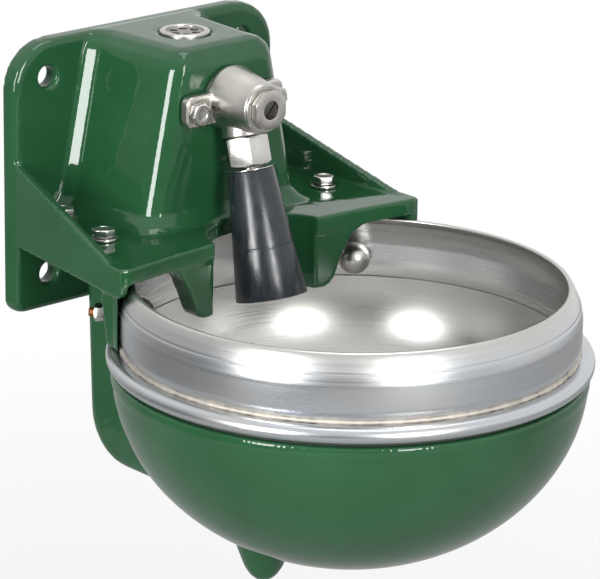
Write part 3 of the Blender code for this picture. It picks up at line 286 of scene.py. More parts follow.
def brushed_finish(colour):
    """Stainless steel with fine rings round the bowl's axis, and a painted reflection tint: warmer inside the
    collar, cooler outside it.
    """
    made, tree, shader = principled("bowl_steel")
    place = object_place(tree, tuple(BOWL_TOP))
    radius = axis_distance(tree, place)
    height = add(tree, "ShaderNodeSeparateXYZ", {0: place}).outputs[2]
    drift = noise(tree, place, 9.0, 2.0)
    rings = add(tree, "ShaderNodeCombineXYZ", {0: radius, 1: height, 2: drift}).outputs[0]
    fine = noise(tree, vector_maths(tree, "MULTIPLY", rings, (900.0, 900.0, 2.2)), 1.0, 3.0, 0.6)
    broad = noise(tree, place, 14.0, 3.0)
    tone = blend(tree, spread(tree, fine, 0.0, 1.0), tinted(colour, 0.84, 0.87, 0.92), colour)
    # Painted reflection tint: the steel is drawn cooler outside the collar than inside it
    outside = spread(tree, radius, 0.0, 1.0, REFLECTION_WARM_TO, REFLECTION_COOL_FROM)
    tone = blend(tree, outside, tone, tinted(colour, 0.88, 0.94, 1.04))
    tone = blend(tree, spread(tree, broad, 0.0, 0.6), tone, tinted(colour, 0.86))
    wire(tree, tone, shader, "Base Color")
    rough = maths(tree, "ADD", spread(tree, fine, 0.26, 0.34), spread(tree, broad, -0.03, 0.04))
    wire(tree, rough, shader, "Roughness")
    wire(tree, bump(tree, fine, 0.0002, 0.06), shader, "Normal")
    shader.inputs["Metallic"].default_value = 1.0
    return made


def cast_metal_finish(name, colour, roughness, grain=340.0, depth=0.00018):
    """Satin cast or forged metal with a fine grain."""
    made, tree, shader = principled(name)
    place = object_place(tree)
    fine = noise(tree, place, grain, 3.0, 0.6)
    broad = noise(tree, place, 55.0, 3.0)
    tone = blend(tree, spread(tree, broad, 0.0, 1.0), tinted(colour, 0.80), colour)
    wire(tree, tone, shader, "Base Color")
    wire(tree, spread(tree, broad, roughness - 0.05, roughness + 0.06), shader, "Roughness")
    wire(tree, bump(tree, fine, depth, 0.5), shader, "Normal")
    shader.inputs["Metallic"].default_value = 1.0
    return made


def worn_bolt_finish(colour, rust):
    """Bright steel whose cut thread end, past the leg's nut, has gone brown."""
    made, tree, shader = principled("ball_bolt_steel")
    place = object_place(tree, tuple(BOWL_TOP))
    ragged = maths(tree, "MULTIPLY_ADD", noise(tree, place, 900.0), 0.0012, axis_distance(tree, place))
    end = spread(tree, ragged, 0.0, 1.0, LEG_NUT_END - 0.0005, LEG_NUT_END + 0.0003)
    wire(tree, blend(tree, end, colour, rust), shader, "Base Color")
    wire(tree, spread(tree, end, 0.30, 0.48, 0.0, 1.0), shader, "Roughness")
    wire(tree, bump(tree, noise(tree, place, 500.0), 0.00006, 0.4), shader, "Normal")
    shader.inputs["Metallic"].default_value = 1.0
    return made


def tube_finish(colour):
    """Glossy black moulded plastic with faint marks along the tube."""
    made, tree, shader = principled("black_tube_plastic")
    marks = vector_maths(tree, "MULTIPLY", object_place(tree, tuple(PIVOT)), (260.0, 260.0, 24.0))
    fine = noise(tree, marks, 1.0, 3.0)
    wire(tree, blend(tree, spread(tree, fine, 0.0, 1.0), colour, tinted(colour, 1.6)), shader, "Base Color")
    wire(tree, spread(tree, fine, 0.22, 0.34), shader, "Roughness")
    wire(tree, bump(tree, fine, 0.00012, 0.3), shader, "Normal")
    shader.inputs["Specular IOR Level"].default_value = 0.6
    return made


def rubber_finish():
    """Dull black rubber."""
    made, tree, shader = principled("black_seal_rubber")
    fine = noise(tree, object_place(tree), 900.0, 2.0)
    wire(tree, blend(tree, fine, (0.012, 0.012, 0.012), (0.030, 0.030, 0.030)), shader, "Base Color")
    wire(tree, bump(tree, fine, 0.0001, 0.4), shader, "Normal")
    shader.inputs["Roughness"].default_value = 0.62
    return made


# Small tools for pieces
def turned(profile, steps, rounding=0.0, segments=3):
    """Turn a (radius, height) profile about Z; its corners are rounded first."""
    solid = bmesh.new()
    points = [solid.verts.new((radius, 0.0, height)) for radius, height in profile]
    for first, second in zip(points, points[1:]):
        solid.edges.new((first, second))
    if profile[0][0] > 0.0:
        solid.edges.new((points[-1], points[0]))
    if rounding > 0.0:
        corners = [point for point in points if point.co.x > 1e-6]
        bmesh.ops.bevel(solid, geom=corners, offset=rounding, segments=segments, profile=0.5,
                        affect="VERTICES", material=-1)
    bmesh.ops.spin(solid, geom=solid.verts[:] + solid.edges[:], cent=(0, 0, 0), axis=(0, 0, 1),
                   angle=math.tau, steps=steps, use_merge=True)
    bmesh.ops.remove_doubles(solid, verts=solid.verts, dist=1e-6)
    bmesh.ops.recalc_face_normals(solid, faces=solid.faces)
    return solid


def rod(radius, low, high, steps):
    """Round bar about Z."""
    return turned([(0, low), (radius, low), (radius, high), (0, high)], steps)


def hoop(bore, radius, low, high, steps, rounding, segments=2):
    """Flat ring about Z."""
    return turned([(bore, low), (radius, low), (radius, high), (bore, high)], steps, rounding, segments)


def prism(flats, low, high, turn=0.0, sides=6):
    """Regular prism about Z, its size over flats, with a corner at the given turn from X."""
    solid = bmesh.new()
    corner = flats / 2 / math.cos(math.pi / sides)
    place = Matrix.Translation((0, 0, (low + high) / 2)) @ Matrix.Rotation(turn - math.pi / 2, 4, "Z")
    bmesh.ops.create_cone(solid, cap_ends=True, segments=sides, radius1=corner, radius2=corner,
                          depth=high - low, matrix=place)
    return solid


def moved(solid, matrix):
    """Move a bmesh."""
    bmesh.ops.transform(solid, matrix=matrix, verts=solid.verts)
    return solid


def as_object(name, solid, material=None):
    """Turn a bmesh into an object at the origin."""
    mesh = bpy.data.meshes.new(name)
    solid.to_mesh(mesh)
    solid.free()
    if material is not None:
        mesh.materials.append(material)
    made = bpy.data.objects.new(name, mesh)
    bpy.context.scene.collection.objects.link(made)
    return made


def apply_modifiers(thing):
    """Make what the modifiers give the object's own mesh."""
    bpy.context.view_layer.update()
    shape = bpy.data.meshes.new_from_object(thing.evaluated_get(bpy.context.evaluated_depsgraph_get()))
    thing.modifiers.clear()
    thing.data = shape


def cut(thing, solid, operation="DIFFERENCE"):
    """Combine an object with a bmesh and leave a clean mesh."""
    tool = as_object("tool", solid)
    step = thing.modifiers.new("cut", "BOOLEAN")
    step.object = tool
    step.operation = operation
    step.solver = "EXACT"
    apply_modifiers(thing)
    bpy.data.objects.remove(tool)


def soften(thing, width, segments=2, angle=30.0):
    """Round the sharp edges of an object."""
    step = thing.modifiers.new("soften", "BEVEL")
    step.width = width
    step.segments = segments
    step.limit_method = "ANGLE"
    step.angle_limit = math.radians(angle)
    step.harden_normals = False
    apply_modifiers(thing)


def chamfered_prism(name, flats, low, high, low_face=None, high_face=None, slope=0.5, turn=0.0, sides=6):
    """Hexagon or octagon whose corners are turned off by a cone down to a round face at either end."""
    thing = as_object(name, prism(flats, low, high, turn, sides))
    reach = flats / math.sqrt(3) + 0.001
    low_face, high_face = low_face or reach, high_face or reach
    profile = [(0, high), (high_face, high), (reach, high - (reach - high_face) * slope),
               (reach, low + (reach - low_face) * slope), (low_face, low), (0, low)]
    cut(thing, turned(profile, 96), "INTERSECT")
    return thing


def duplicate(thing, name):
    """A second object with its own copy of a mesh."""
    made = bpy.data.objects.new(name, thing.data.copy())
    bpy.context.scene.collection.objects.link(made)
    return made


def finish(thing, material, matrix, body, replaced=(), angle=35.0):
    """Put a piece in its place, give it its material, smooth it, attach it to its body and hide the solids it
    replaces.
    """
    thing.data.transform(matrix)
    thing.data.materials.clear()
    thing.data.materials.append(material)
    thing.data.shade_smooth()
    thing.data.set_sharp_from_angle(angle=math.radians(angle))
    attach(thing, body)
    if replaced:
        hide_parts(*replaced)
    return thing


def along_branch():
    """Matrix from the tube's own axis, counted from the pivot, to its place."""
    turn = Vector((0, 0, 1)).rotation_difference(BRANCH_UP).to_matrix().to_4x4()
    return Matrix.Translation(PIVOT) @ turn


def along_barrel():
    """Matrix that lays Z along Y into the wall at the valve's height."""
    return Matrix.Translation((0.0, 0.0, BARREL_Z)) @ Matrix.Rotation(-math.pi / 2, 4, "X")


def radial(azimuth):
    """Matrix from an axis that points outwards from the bowl's middle, at the height of the ball bolts."""
    return (Matrix.Translation(BOWL_TOP - Vector((0, 0, BALL_DROP))) @ Matrix.Rotation(azimuth, 4, "Z")
            @ Matrix.Rotation(math.pi / 2, 4, "Y"))


def cast_skin(made, voxel, rounds, most=180000):
    """Give an object the soft edges of a casting: even grid, smoothing, then fewer faces."""
    remesh = made.modifiers.new("remesh", "REMESH")
    remesh.mode = "VOXEL"
    remesh.voxel_size = voxel
    smooth = made.modifiers.new("smooth", "SMOOTH")
    smooth.factor = 0.5
    smooth.iterations = rounds
    apply_modifiers(made)
    made.data.calc_loop_triangles()
    count = len(made.data.loop_triangles)
    if count > most:
        fewer = made.modifiers.new("fewer", "DECIMATE")
        fewer.ratio = most / count
        apply_modifiers(made)
    return made


def solid_copy(name, node):
    """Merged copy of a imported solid."""
    copy = bmesh.new()
    copy.from_mesh(frame["nodes"][node].data)
    bmesh.ops.remove_doubles(copy, verts=copy.verts, dist=1e-6)
    return as_object(name, copy)


def centre_of(node):
    """Middle of a node's box."""
    low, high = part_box(node)
    return (low + high) / 2


# Settings that a user would change
class DrinkingBowlFinish(bpy.types.PropertyGroup):
    """Colours of the drinking bowl's finishes."""
    enamel: FloatVectorProperty(name="Enamel", description="Main colour of the enamel", subtype="COLOR",
                                size=3, default=(0.019, 0.086, 0.034), min=0.0, max=1.0)
    enamel_deep: FloatVectorProperty(name="Enamel, deep", description="Darker clouds in the enamel",
                                     subtype="COLOR", size=3, default=(0.013, 0.070, 0.026), min=0.0, max=1.0)
    steel: FloatVectorProperty(name="Steel", description="Brushed steel of the bowl", subtype="COLOR",
                               size=3, default=(0.63, 0.615, 0.585), min=0.0, max=1.0)
    valve: FloatVectorProperty(name="Valve", description="Cast valve body and cap", subtype="COLOR",
                               size=3, default=(0.60, 0.58, 0.54), min=0.0, max=1.0)
    plated: FloatVectorProperty(name="Plated steel", description="Nuts, bolts and washers", subtype="COLOR",
                                size=3, default=(0.66, 0.65, 0.62), min=0.0, max=1.0)
    rust: FloatVectorProperty(name="Rust", description="Cut thread ends of the ball bolts", subtype="COLOR",
                              size=3, default=(0.30, 0.13, 0.06), min=0.0, max=1.0)
    tube: FloatVectorProperty(name="Tube", description="Black plastic of the tube", subtype="COLOR",
                              size=3, default=(0.010, 0.013, 0.017), min=0.0, max=1.0)


class DrinkingBowlSizes(bpy.types.PropertyGroup):
    """Sizes of the details that the solids leave out."""
    casting_voxel: FloatProperty(name="Casting grid", description="Grid on which the castings are rounded",
                                 default=0.0011, min=0.0008, max=0.004, subtype="DISTANCE", unit="LENGTH")
    casting_rounds: IntProperty(name="Casting rounding", description="How often the castings are smoothed",
                                default=8, min=0, max=60)
    bowl_steps: IntProperty(name="Bowl steps", description="Steps round the bowl",
                            default=160, min=24, max=512)
    sheet: FloatProperty(name="Sheet", description="Thickness of the bowl's sheet steel", default=0.002,
                         min=0.0005, max=0.005, subtype="DISTANCE", unit="LENGTH")
    score_depth: FloatProperty(name="Score depth", description="Depth of the line round the collar",
                               default=0.00035, min=0.0, max=0.001, subtype="DISTANCE", unit="LENGTH")
    weld_radius: FloatProperty(name="Weld", description="Radius of the weld bead round the collar's foot",
                               default=0.0016, min=0.0002, max=0.003, subtype="DISTANCE", unit="LENGTH")


def finishes():
    """The scene's colour settings."""
    return bpy.context.scene.drinking_bowl_finish


def sizes():
    """The scene's size settings."""
    return bpy.context.scene.drinking_bowl_sizes


# Finishes that several pieces share
def shared(name, make, *values):
    """The material of that name, made where it is not there yet."""
    return bpy.data.materials.get(name) or make(*values)


def shared_metal(name, *values):
    """Cast or forged metal of that name, made where it is not there yet."""
    return shared(name, cast_metal_finish, name, *values)


def enamel():
    """Green enamel."""
    return shared("glossy_enamel", enamel_finish, tuple(finishes().enamel), tuple(finishes().enamel_deep))


def bowl_steel():
    """Brushed steel of the bowl."""
    return shared("bowl_steel", brushed_finish, tuple(finishes().steel))


def valve_metal():
    """Satin cast steel of the valve."""
    return shared_metal("valve_metal", tuple(finishes().valve), 0.30)


def plated_steel():
    """Bright plated steel of nuts and bolts."""
    return shared_metal("plated_steel", tuple(finishes().plated), 0.22, 500.0, 0.00008)


def ball_bolt_steel():
    """Bright steel of the ball bolts, with brown ends."""
    return shared("ball_bolt_steel", worn_bolt_finish, tuple(finishes().plated), tuple(finishes().rust))


def dark_steel():
    """Dark steel of the regulating screw."""
    return shared_metal("screw_steel", (0.11, 0.105, 0.10), 0.38)


def strainer_metal():
    """Dull steel of the strainer."""
    return shared_metal("strainer_metal", (0.36, 0.35, 0.33), 0.42)


def weld_metal():
    """Rough metal of the weld bead."""
    return shared_metal("weld_metal", (0.60, 0.56, 0.50), 0.62, 900.0, 0.0006)


def brass():
    """Turned brass of the seat."""
    return shared_metal("turned_brass", (0.60, 0.42, 0.18), 0.30)


def tube_plastic():
    """Black plastic of the tube."""
    return shared("black_tube_plastic", tube_finish, tuple(finishes().tube))


def rubber():
    """Seal rubber."""
    return shared("black_seal_rubber", rubber_finish)


class StageOperator(bpy.types.Operator):
    """Floor, lights, world and the photograph's camera"""
    bl_idname = "drinking_bowl.stage"
    bl_label = "Stage"

    def execute(self, context):
        floor_shape = bmesh.new()
        place = Matrix.Translation((0.60, -0.60, SOLID_BOX[0][2] - FLOOR_DROP))
        bmesh.ops.create_circle(floor_shape, cap_ends=True, segments=96, radius=FLOOR_RADIUS, matrix=place)
        floor = as_object("floor", floor_shape, self.floor_paint())
        self.world(context.scene)
        for name, (turn, rise, wide, tall, power) in LAMPS.items():
            self.lamp(name, math.radians(turn), math.radians(rise), wide, tall, power)
        self.camera(context.scene)
        context.scene.view_settings.view_transform = "Standard"
        return {"FINISHED"}

    def floor_paint(self):
        """Pale floor that the camera and glass see nearly white, with the object's shadow on it."""
        made, tree, shader = principled("pale_floor")
        shader.inputs["Base Color"].default_value = (0.42, 0.42, 0.42, 1.0)
        shader.inputs["Roughness"].default_value = 0.9
        path = add(tree, "ShaderNodeLightPath")
        mirrored = maths(tree, "MULTIPLY", path.outputs["Is Glossy Ray"], 0.08)
        seen = maths(tree, "MAXIMUM", path.outputs["Is Camera Ray"], mirrored)
        seen = maths(tree, "MAXIMUM", seen, path.outputs["Is Transmission Ray"])
        reach = vector_maths(tree, "LENGTH", object_place(tree), result="Value")
        share = maths(tree, "MULTIPLY", seen, spread(tree, reach, 0.85, 1.0, 0.45, 0.85))
        white = add(tree, "ShaderNodeEmission", {"Color": (1.0, 1.0, 1.0, 1.0), "Strength": 1.0})
        mixed = add(tree, "ShaderNodeMixShader", {0: share, 1: shader.outputs[0], 2: white.outputs[0]})
        tree.links.new(mixed.outputs[0], tree.nodes["Material Output"].inputs["Surface"])
        return made

    def world(self, scene):
        """White for the camera, and in reflections from behind and above; dimmer as light."""
        world = bpy.data.worlds.new("studio")
        scene.world = world
        world.use_nodes = True
        tree = world.node_tree
        way = add(tree, "ShaderNodeTexCoord").outputs["Generated"]
        ahead, aside, above = 0.45, 0.35, 0.80
        turn = CAMERA_AZIMUTH
        back = (ahead * math.sin(turn) + aside * math.cos(turn),
                ahead * math.cos(turn) - aside * math.sin(turn), above)
        behind = vector_maths(tree, "DOT_PRODUCT", way, back, result="Value")
        mirrored = spread(tree, behind, 0.24, 1.0, -0.40, 0.35)
        path = add(tree, "ShaderNodeLightPath")
        seen = maths(tree, "MAXIMUM", path.outputs["Is Camera Ray"], path.outputs["Is Transmission Ray"])
        glossy = path.outputs["Is Glossy Ray"]
        level = add(tree, "ShaderNodeMix", {0: glossy, 2: 0.50, 3: mirrored}).outputs[0]
        level = add(tree, "ShaderNodeMix", {0: seen, 2: level, 3: 1.0}).outputs[0]
        background = tree.nodes["Background"]
        background.inputs["Color"].default_value = (1.0, 1.0, 1.0, 1.0)
        tree.links.new(level, background.inputs["Strength"])

    def lamp(self, name, turn, rise, wide, tall, power):
        """Upright softbox that looks at the bowl, turned from the camera's side."""
        lamp = bpy.data.lights.new(name, "AREA")
        lamp.shape = "RECTANGLE"
        lamp.size, lamp.size_y = wide, tall
        lamp.energy = power
        turn = turn - CAMERA_AZIMUTH
        away = Vector((math.sin(turn) * math.cos(rise), -math.cos(turn) * math.cos(rise), math.sin(rise)))
        made = bpy.data.objects.new(name, lamp)
        made.location = BOWL_TOP + LAMP_DISTANCE * away
        made.rotation_euler = (-away).to_track_quat("-Z", "Y").to_euler()
        bpy.context.scene.collection.objects.link(made)

    def camera(self, scene):
        """The photograph's viewpoint, from the bowl's centre at rim height."""
        turn, rise = CAMERA_AZIMUTH, CAMERA_ELEVATION
        right = Vector((math.cos(turn), -math.sin(turn), 0.0))
        up = Vector((math.sin(turn) * math.sin(rise), math.cos(turn) * math.sin(rise), math.cos(rise)))
        ahead = Vector((math.sin(turn) * math.cos(rise), math.cos(turn) * math.cos(rise), -math.sin(rise)))
        place = BOWL_TOP - CAMERA_DISTANCE * ahead - CAMERA_RIGHT * right - CAMERA_DOWN * up
        level = math.cos(CAMERA_ROLL) * right + math.sin(CAMERA_ROLL) * up
        upright = math.cos(CAMERA_ROLL) * up - math.sin(CAMERA_ROLL) * right
        lens = bpy.data.cameras.new("camera")
        lens.sensor_width = 36.0
        lens.lens = FOCAL_PIXELS / IMAGE_WIDTH * lens.sensor_width
        made = bpy.data.objects.new("camera", lens)
        made.matrix_world = Matrix.Translation(place) @ Matrix((level, upright, -ahead)).transposed().to_4x4()
        scene.collection.objects.link(made)
        scene.camera = made


class BracketOperator(bpy.types.Operator):
    """Enamelled bracket casting with soft cast edges and a groove round the inlet bush"""
    bl_idname = "drinking_bowl.bracket"
    bl_label = "Bracket"

    def execute(self, context):
        bracket = solid_copy("enamelled_bracket", "bracket_casting")
        cast_skin(bracket, sizes().casting_voxel, sizes().casting_rounds)
        middle, top = centre_of("inlet_bush"), BUSH_HIGH.z
        groove = turned([(GROOVE_INSIDE, top - GROOVE_DEPTH), (GROOVE_OUTSIDE, top - GROOVE_DEPTH),
                         (GROOVE_OUTSIDE + 0.0002, top + 0.002), (GROOVE_INSIDE, top + 0.002)], 96)
        cut(bracket, moved(groove, Matrix.Translation((middle.x, middle.y, 0))))
        finish(bracket, enamel(), Matrix.Identity(4), MAIN_BODY, ("bracket_casting",), 80.0)
        return {"FINISHED"}


class ShellOperator(bpy.types.Operator):
    """Enamelled outer shell: round bowl, rear box, ears and feet in one casting"""
    bl_idname = "drinking_bowl.shell"
    bl_label = "Outer shell"

    def execute(self, context):
        shell = solid_copy("enamelled_shell", "outer_shell")
        radius = (GASKET_HIGH.x - GASKET_LOW.x) / 2 + SHELL_FLANGE
        top = GASKET_LOW.z - RIM_Z - PIECE_GAP
        proud, sunk, lip, lip_height = 0.0004, 0.0012, 0.0008, 0.0070
        outside = self.bowl_line(radius + proud, top, SHELL_DEPTH + proud)
        inside = self.bowl_line(radius - sunk, top, SHELL_DEPTH - sunk)
        edge = [(radius + lip, top - lip_height), (radius + lip, top), (radius - sunk, top)]
        profile = [(0.0, top - SHELL_DEPTH - proud)] + outside[::-1] + edge + inside
        profile.append((0.0, top - SHELL_DEPTH + sunk))
        skin = turned(profile, sizes().bowl_steps)
        cut(shell, moved(skin, Matrix.Translation(BOWL_TOP)), "UNION")
        cast_skin(shell, sizes().casting_voxel * 1.25, sizes().casting_rounds)
        finish(shell, enamel(), Matrix.Identity(4), MAIN_BODY, ("outer_shell",), 80.0)
        return {"FINISHED"}

    def bowl_line(self, radius, top, depth):
        """Quarter of an ellipse, from just under the edge to just before the bottom."""
        steps = 40
        turns = [math.radians(4) + math.radians(86) * step / steps for step in range(steps)]
        return [(radius * math.cos(turn), top - depth * math.sin(turn)) for turn in turns]


class BowlOperator(bpy.types.Operator):
    """Brushed collar with its rim, score line and weld, and the dish with its rolled flange"""
    bl_idname = "drinking_bowl.bowl"
    bl_label = "Bowl"

    def execute(self, context):
        self.collar()
        self.dish()
        self.weld()
        return {"FINISHED"}

    def collar(self):
        """Collar: bulged ring with a rounded rim and a score line."""
        foot, wide, sheet = COLLAR_FOOT, COLLAR_RADIUS, sizes().sheet
        rim = wide - COLLAR_STEP
        foot_radius = wide - COLLAR_FOOT_STEP
        mouth = [(rim + 0.0004, 0.0), (rim + 0.0024, -0.0006), (rim + 0.0046, -0.0048),
                 (rim + 0.0073, -0.0108)]
        score = [(rim + 0.0076 - sizes().score_depth, -0.0115), (rim + 0.0079, -0.0122)]
        belly = [(wide, -0.0185), (wide, -0.0345), (foot_radius, foot)]
        inside = [(foot_radius - sheet, foot), (wide - 0.0013 - sheet, -0.0310),
                  (wide - 0.0008 - sheet, -0.0200), (rim + 0.0070 - sheet, -0.0122),
                  (rim + 0.0048 - sheet, -0.0055), (rim - 0.0008, -0.0012)]
        solid = turned(mouth + score + belly + inside, sizes().bowl_steps, 0.0012)
        collar = as_object("steel_collar", solid)
        place = Matrix.Translation(BOWL_TOP)
        finish(collar, bowl_steel(), place, MAIN_BODY, ("bowl_collar",))

    def dish(self):
        """Dish: deep half bowl whose edge is rolled round the flange."""
        sheet = sizes().sheet
        depth = DISH_LOW.z - RIM_Z + sheet
        neck = COLLAR_RADIUS - COLLAR_FOOT_STEP - sheet
        joint = COLLAR_FOOT + 0.0001
        steps = 24
        inside = [(0.0, depth)]
        for step in range(1, steps):
            turn = math.pi / 2 * step / steps
            height = joint + (depth - joint) * math.cos(turn) ** 0.9
            inside.append((neck * math.sin(turn) ** 0.72, height))
        edge = [(neck, joint), (neck + 0.0018, joint), (neck + 0.0018, FLANGE_TOP)]
        for step in range(13):
            turn = math.pi / 2 - math.pi * step / 12
            edge.append((FLANGE_RADIUS - FLANGE_ROLL + FLANGE_ROLL * math.cos(turn),
                         FLANGE_TOP - FLANGE_ROLL + FLANGE_ROLL * math.sin(turn)))
        outside = [(neck + 0.0008, FLANGE_TOP - 2 * FLANGE_ROLL)]
        for radius, height in inside[-2:0:-1]:
            outside.append((radius + sheet * (0.35 + 0.65 * radius / neck), height - sheet))
        solid = turned(inside + edge + outside + [(0.0, depth - sheet)], sizes().bowl_steps)
        dish = as_object("steel_dish", solid)
        place = Matrix.Translation(BOWL_TOP)
        finish(dish, bowl_steel(), place, MAIN_BODY, ("bowl_dish",))

    def weld(self):
        """Weld bead between the collar's foot and the flange, uneven along its length."""
        radius, bead = COLLAR_RADIUS - 0.0015, sizes().weld_radius
        height = COLLAR_FOOT + bead * 0.6
        turns = [math.tau * step / 8 for step in range(8)]
        profile = [(radius + bead * math.cos(turn), height + bead * math.sin(turn)) for turn in turns]
        solid = turned(profile, 480)
        for point in solid.verts:
            turn = math.atan2(point.co.y, point.co.x)
            ripple = 0.12 * math.sin(turn * 113) + 0.12 * math.sin(turn * 47 + 1.0)
            ripple += 0.16 * math.sin(turn * 23)
            centre = Vector((math.cos(turn) * radius, math.sin(turn) * radius, height))
            point.co = centre + (point.co - centre) * (1.0 + ripple)
        weld = as_object("weld_bead", solid)
        finish(weld, weld_metal(), Matrix.Translation(BOWL_TOP), MAIN_BODY, ())


class TubeOperator(bpy.types.Operator):
    """Black drinking tube with its moulding line, and the bright sleeve under the nut"""
    bl_idname = "drinking_bowl.tube"
    bl_label = "Drinking tube"

    def execute(self, context):
        socket = 0.0060
        line = TUBE_TOP + 0.60 * (TUBE_FOOT - TUBE_TOP)
        slope = (TUBE_FOOT_RADIUS - TUBE_TOP_RADIUS) / (TUBE_TOP - TUBE_FOOT)
        at_line = TUBE_TOP_RADIUS + slope * (TUBE_TOP - line)
        roof = TUBE_TOP - TUBE_ROOF
        outside = [(socket, TUBE_TOP), (TUBE_TOP_RADIUS, TUBE_TOP), (at_line, line + 0.0007),
                   (at_line - 0.0002, line), (at_line + 0.0001, line - 0.0007), (TUBE_FOOT_RADIUS, TUBE_FOOT)]
        inside = [(TUBE_FOOT_RADIUS - TUBE_WALL, TUBE_FOOT),
                  (TUBE_TOP_RADIUS - TUBE_WALL + slope * TUBE_ROOF, roof), (socket, roof)]
        tube = as_object("black_tube", turned(outside + inside, 96, 0.0004, 2))
        finish(tube, tube_plastic(), along_branch(), "tube", ("drinking_tube",))
        bore, neck, stem = 0.0040, 0.0051, 0.0054
        sleeve = [(bore, SLEEVE_TOP), (neck, SLEEVE_TOP), (neck, SLEEVE_RING_TOP),
                  (SLEEVE_RING_RADIUS, SLEEVE_RING_TOP), (SLEEVE_RING_RADIUS, SLEEVE_RING_FOOT),
                  (stem, SLEEVE_RING_FOOT), (stem, SLEEVE_FOOT), (bore, SLEEVE_FOOT)]
        ring = as_object("bright_sleeve", turned(sleeve, 72, 0.00015, 2))
        finish(ring, plated_steel(), along_branch(), "tube", ("tube_sleeve",))
        return {"FINISHED"}


class ValveOperator(bpy.types.Operator):
    """Cast valve body, cap with eight flats and its ring, slotted regulating screw and union nut"""
    bl_idname = "drinking_bowl.valve"
    bl_label = "Valve"

    def execute(self, context):
        self.body()
        self.cap()
        self.screw()
        self.nut()
        return {"FINISHED"}

    def body(self):
        """Barrel, lugs and slanted branch, blended as a casting."""
        front, back = BODY_LOW.y, BODY_HIGH.y
        lug = back - LUG_THICKNESS
        edge = 0.0008
        barrel = [(0, front), (BARREL_FRONT - edge, front), (BARREL_FRONT, front + edge),
                  (BARREL_BACK, back - 0.0025), (BARREL_BACK - 0.0003, back), (0, back)]
        body = as_object("cast_valve_body", moved(turned(barrel, 96), along_barrel()))
        cut(body, self.lugs(lug, back), "UNION")
        branch = [(0, 0.0325), (0.0088, 0.0325), (0.0140, 0.0225), (0.0147, 0.0160), (0.0148, 0.0129),
                  (0.0110, 0.0128), (0.0110, 0.0065), (0, 0.0065)]
        cut(body, moved(turned(branch, 96), along_branch()), "UNION")
        cap_bore, water_bore, inlet_bore = 0.0102, 0.008, 0.0045
        floor, step = front + 0.0075, back - 0.0035
        bore = [(0, front - 0.002), (cap_bore, front - 0.002), (cap_bore, floor), (water_bore, floor),
                (water_bore, step), (inlet_bore, step), (inlet_bore, back + 0.002), (0, back + 0.002)]
        cut(body, moved(turned(bore, 64), along_barrel()))
        spring_bore, seat_bore, seat = 0.007, 0.0088, 0.0214
        drop = [(0, 0.0345), (spring_bore, 0.0345), (spring_bore, seat), (seat_bore, seat),
                (seat_bore, 0.0045), (0, 0.0045)]
        cut(body, moved(turned(drop, 64), along_branch()))
        for side in (-1, 1):
            hole = rod(0.0045, lug - 0.003, back + 0.003, 48)
            cut(body, moved(hole, Matrix.Translation((side * LUG_BOLT_X, 0, -LUG_DROP)) @ along_barrel()))
        cast_skin(body, 0.0005, 6)
        finish(body, valve_metal(), Matrix.Identity(4), MAIN_BODY, ("valve_body",), 80.0)

    def lugs(self, front, back):
        """Plate of the two lugs, with round corners and a rounded face."""
        solid = bmesh.new()
        place = Matrix.Translation((0, (front + back) / 2, BARREL_Z - LUG_DROP))
        size = Matrix.Diagonal((LUG_WIDTH, back - front, LUG_HEIGHT, 1.0))
        bmesh.ops.create_cube(solid, size=1.0, matrix=place @ size)
        upright = []
        for edge in solid.edges:
            first, second = (point.co for point in edge.verts)
            if abs(first.x - second.x) + abs(first.z - second.z) < 1e-6:
                upright.append(edge)
        bmesh.ops.bevel(solid, geom=upright, offset=0.005, segments=8, profile=0.5,
                        affect="EDGES", material=-1)
        face = [edge for edge in solid.edges if max(point.co.y for point in edge.verts) < front + 1e-6]
        bmesh.ops.bevel(solid, geom=face, offset=0.0012, segments=3, profile=0.5,
                        affect="EDGES", material=-1)
        return solid

    def cap(self):
        """Cap with eight flats and the well of the regulating screw, and the ring behind it."""
        front, end = CAP_LOW.y, CAP_HIGH.y
        back = front + CAP_THICKNESS
        cap = chamfered_prism("valve_cap_octagon", CAP_FLATS, front, back, low_face=0.0124, slope=0.45,
                              turn=math.radians(22.5), sides=8)
        cut(cap, rod(CAP_THREAD, back - 0.001, end, 64), "UNION")
        mouth, well, hole, seal = 0.0062, 0.0059, 0.0033, 0.0046
        floor, step = front + 0.0042, end - 0.0035
        inside = [(0, front - CUT_PAST), (mouth, front - CUT_PAST), (well, front + 0.0003), (well, floor),
                  (hole, floor), (hole, step), (seal, step), (seal, end + CUT_PAST), (0, end + CUT_PAST)]
        cut(cap, turned(inside, 64))
        soften(cap, 0.0003, 2, 40.0)
        finish(cap, valve_metal(), along_barrel(), MAIN_BODY, ("valve_cap",))
        ring = as_object("cap_ring_bright", hoop(0.0106, 0.0157, RING_LOW.y, RING_HIGH.y, 96, 0.0004, 3))
        finish(ring, plated_steel(), along_barrel(), MAIN_BODY, ("cap_ring",))

    def screw(self):
        """Regulating screw, whose slotted head turns in the cap."""
        face, tip = SCREW_LOW.y, SCREW_HIGH.y
        head_radius, stem = 0.0056, 0.003
        head = face + 0.0033
        profile = [(0, face), (head_radius, face), (head_radius, head), (stem, head), (stem, tip - 0.0045),
                   (0.0008, tip), (0, tip)]
        screw = as_object("slotted_screw", turned(profile, 64, 0.0003, 2))
        slot = bmesh.new()
        place = Matrix.Rotation(SCREW_TURN, 4, "Z") @ Matrix.Translation((0, 0, face))
        bmesh.ops.create_cube(slot, size=1.0, matrix=place @ Matrix.Diagonal((0.02, 0.0013, 0.0026, 1.0)))
        cut(screw, slot)
        finish(screw, dark_steel(), along_barrel(), "regulating_spindle", ("regulating_screw",))

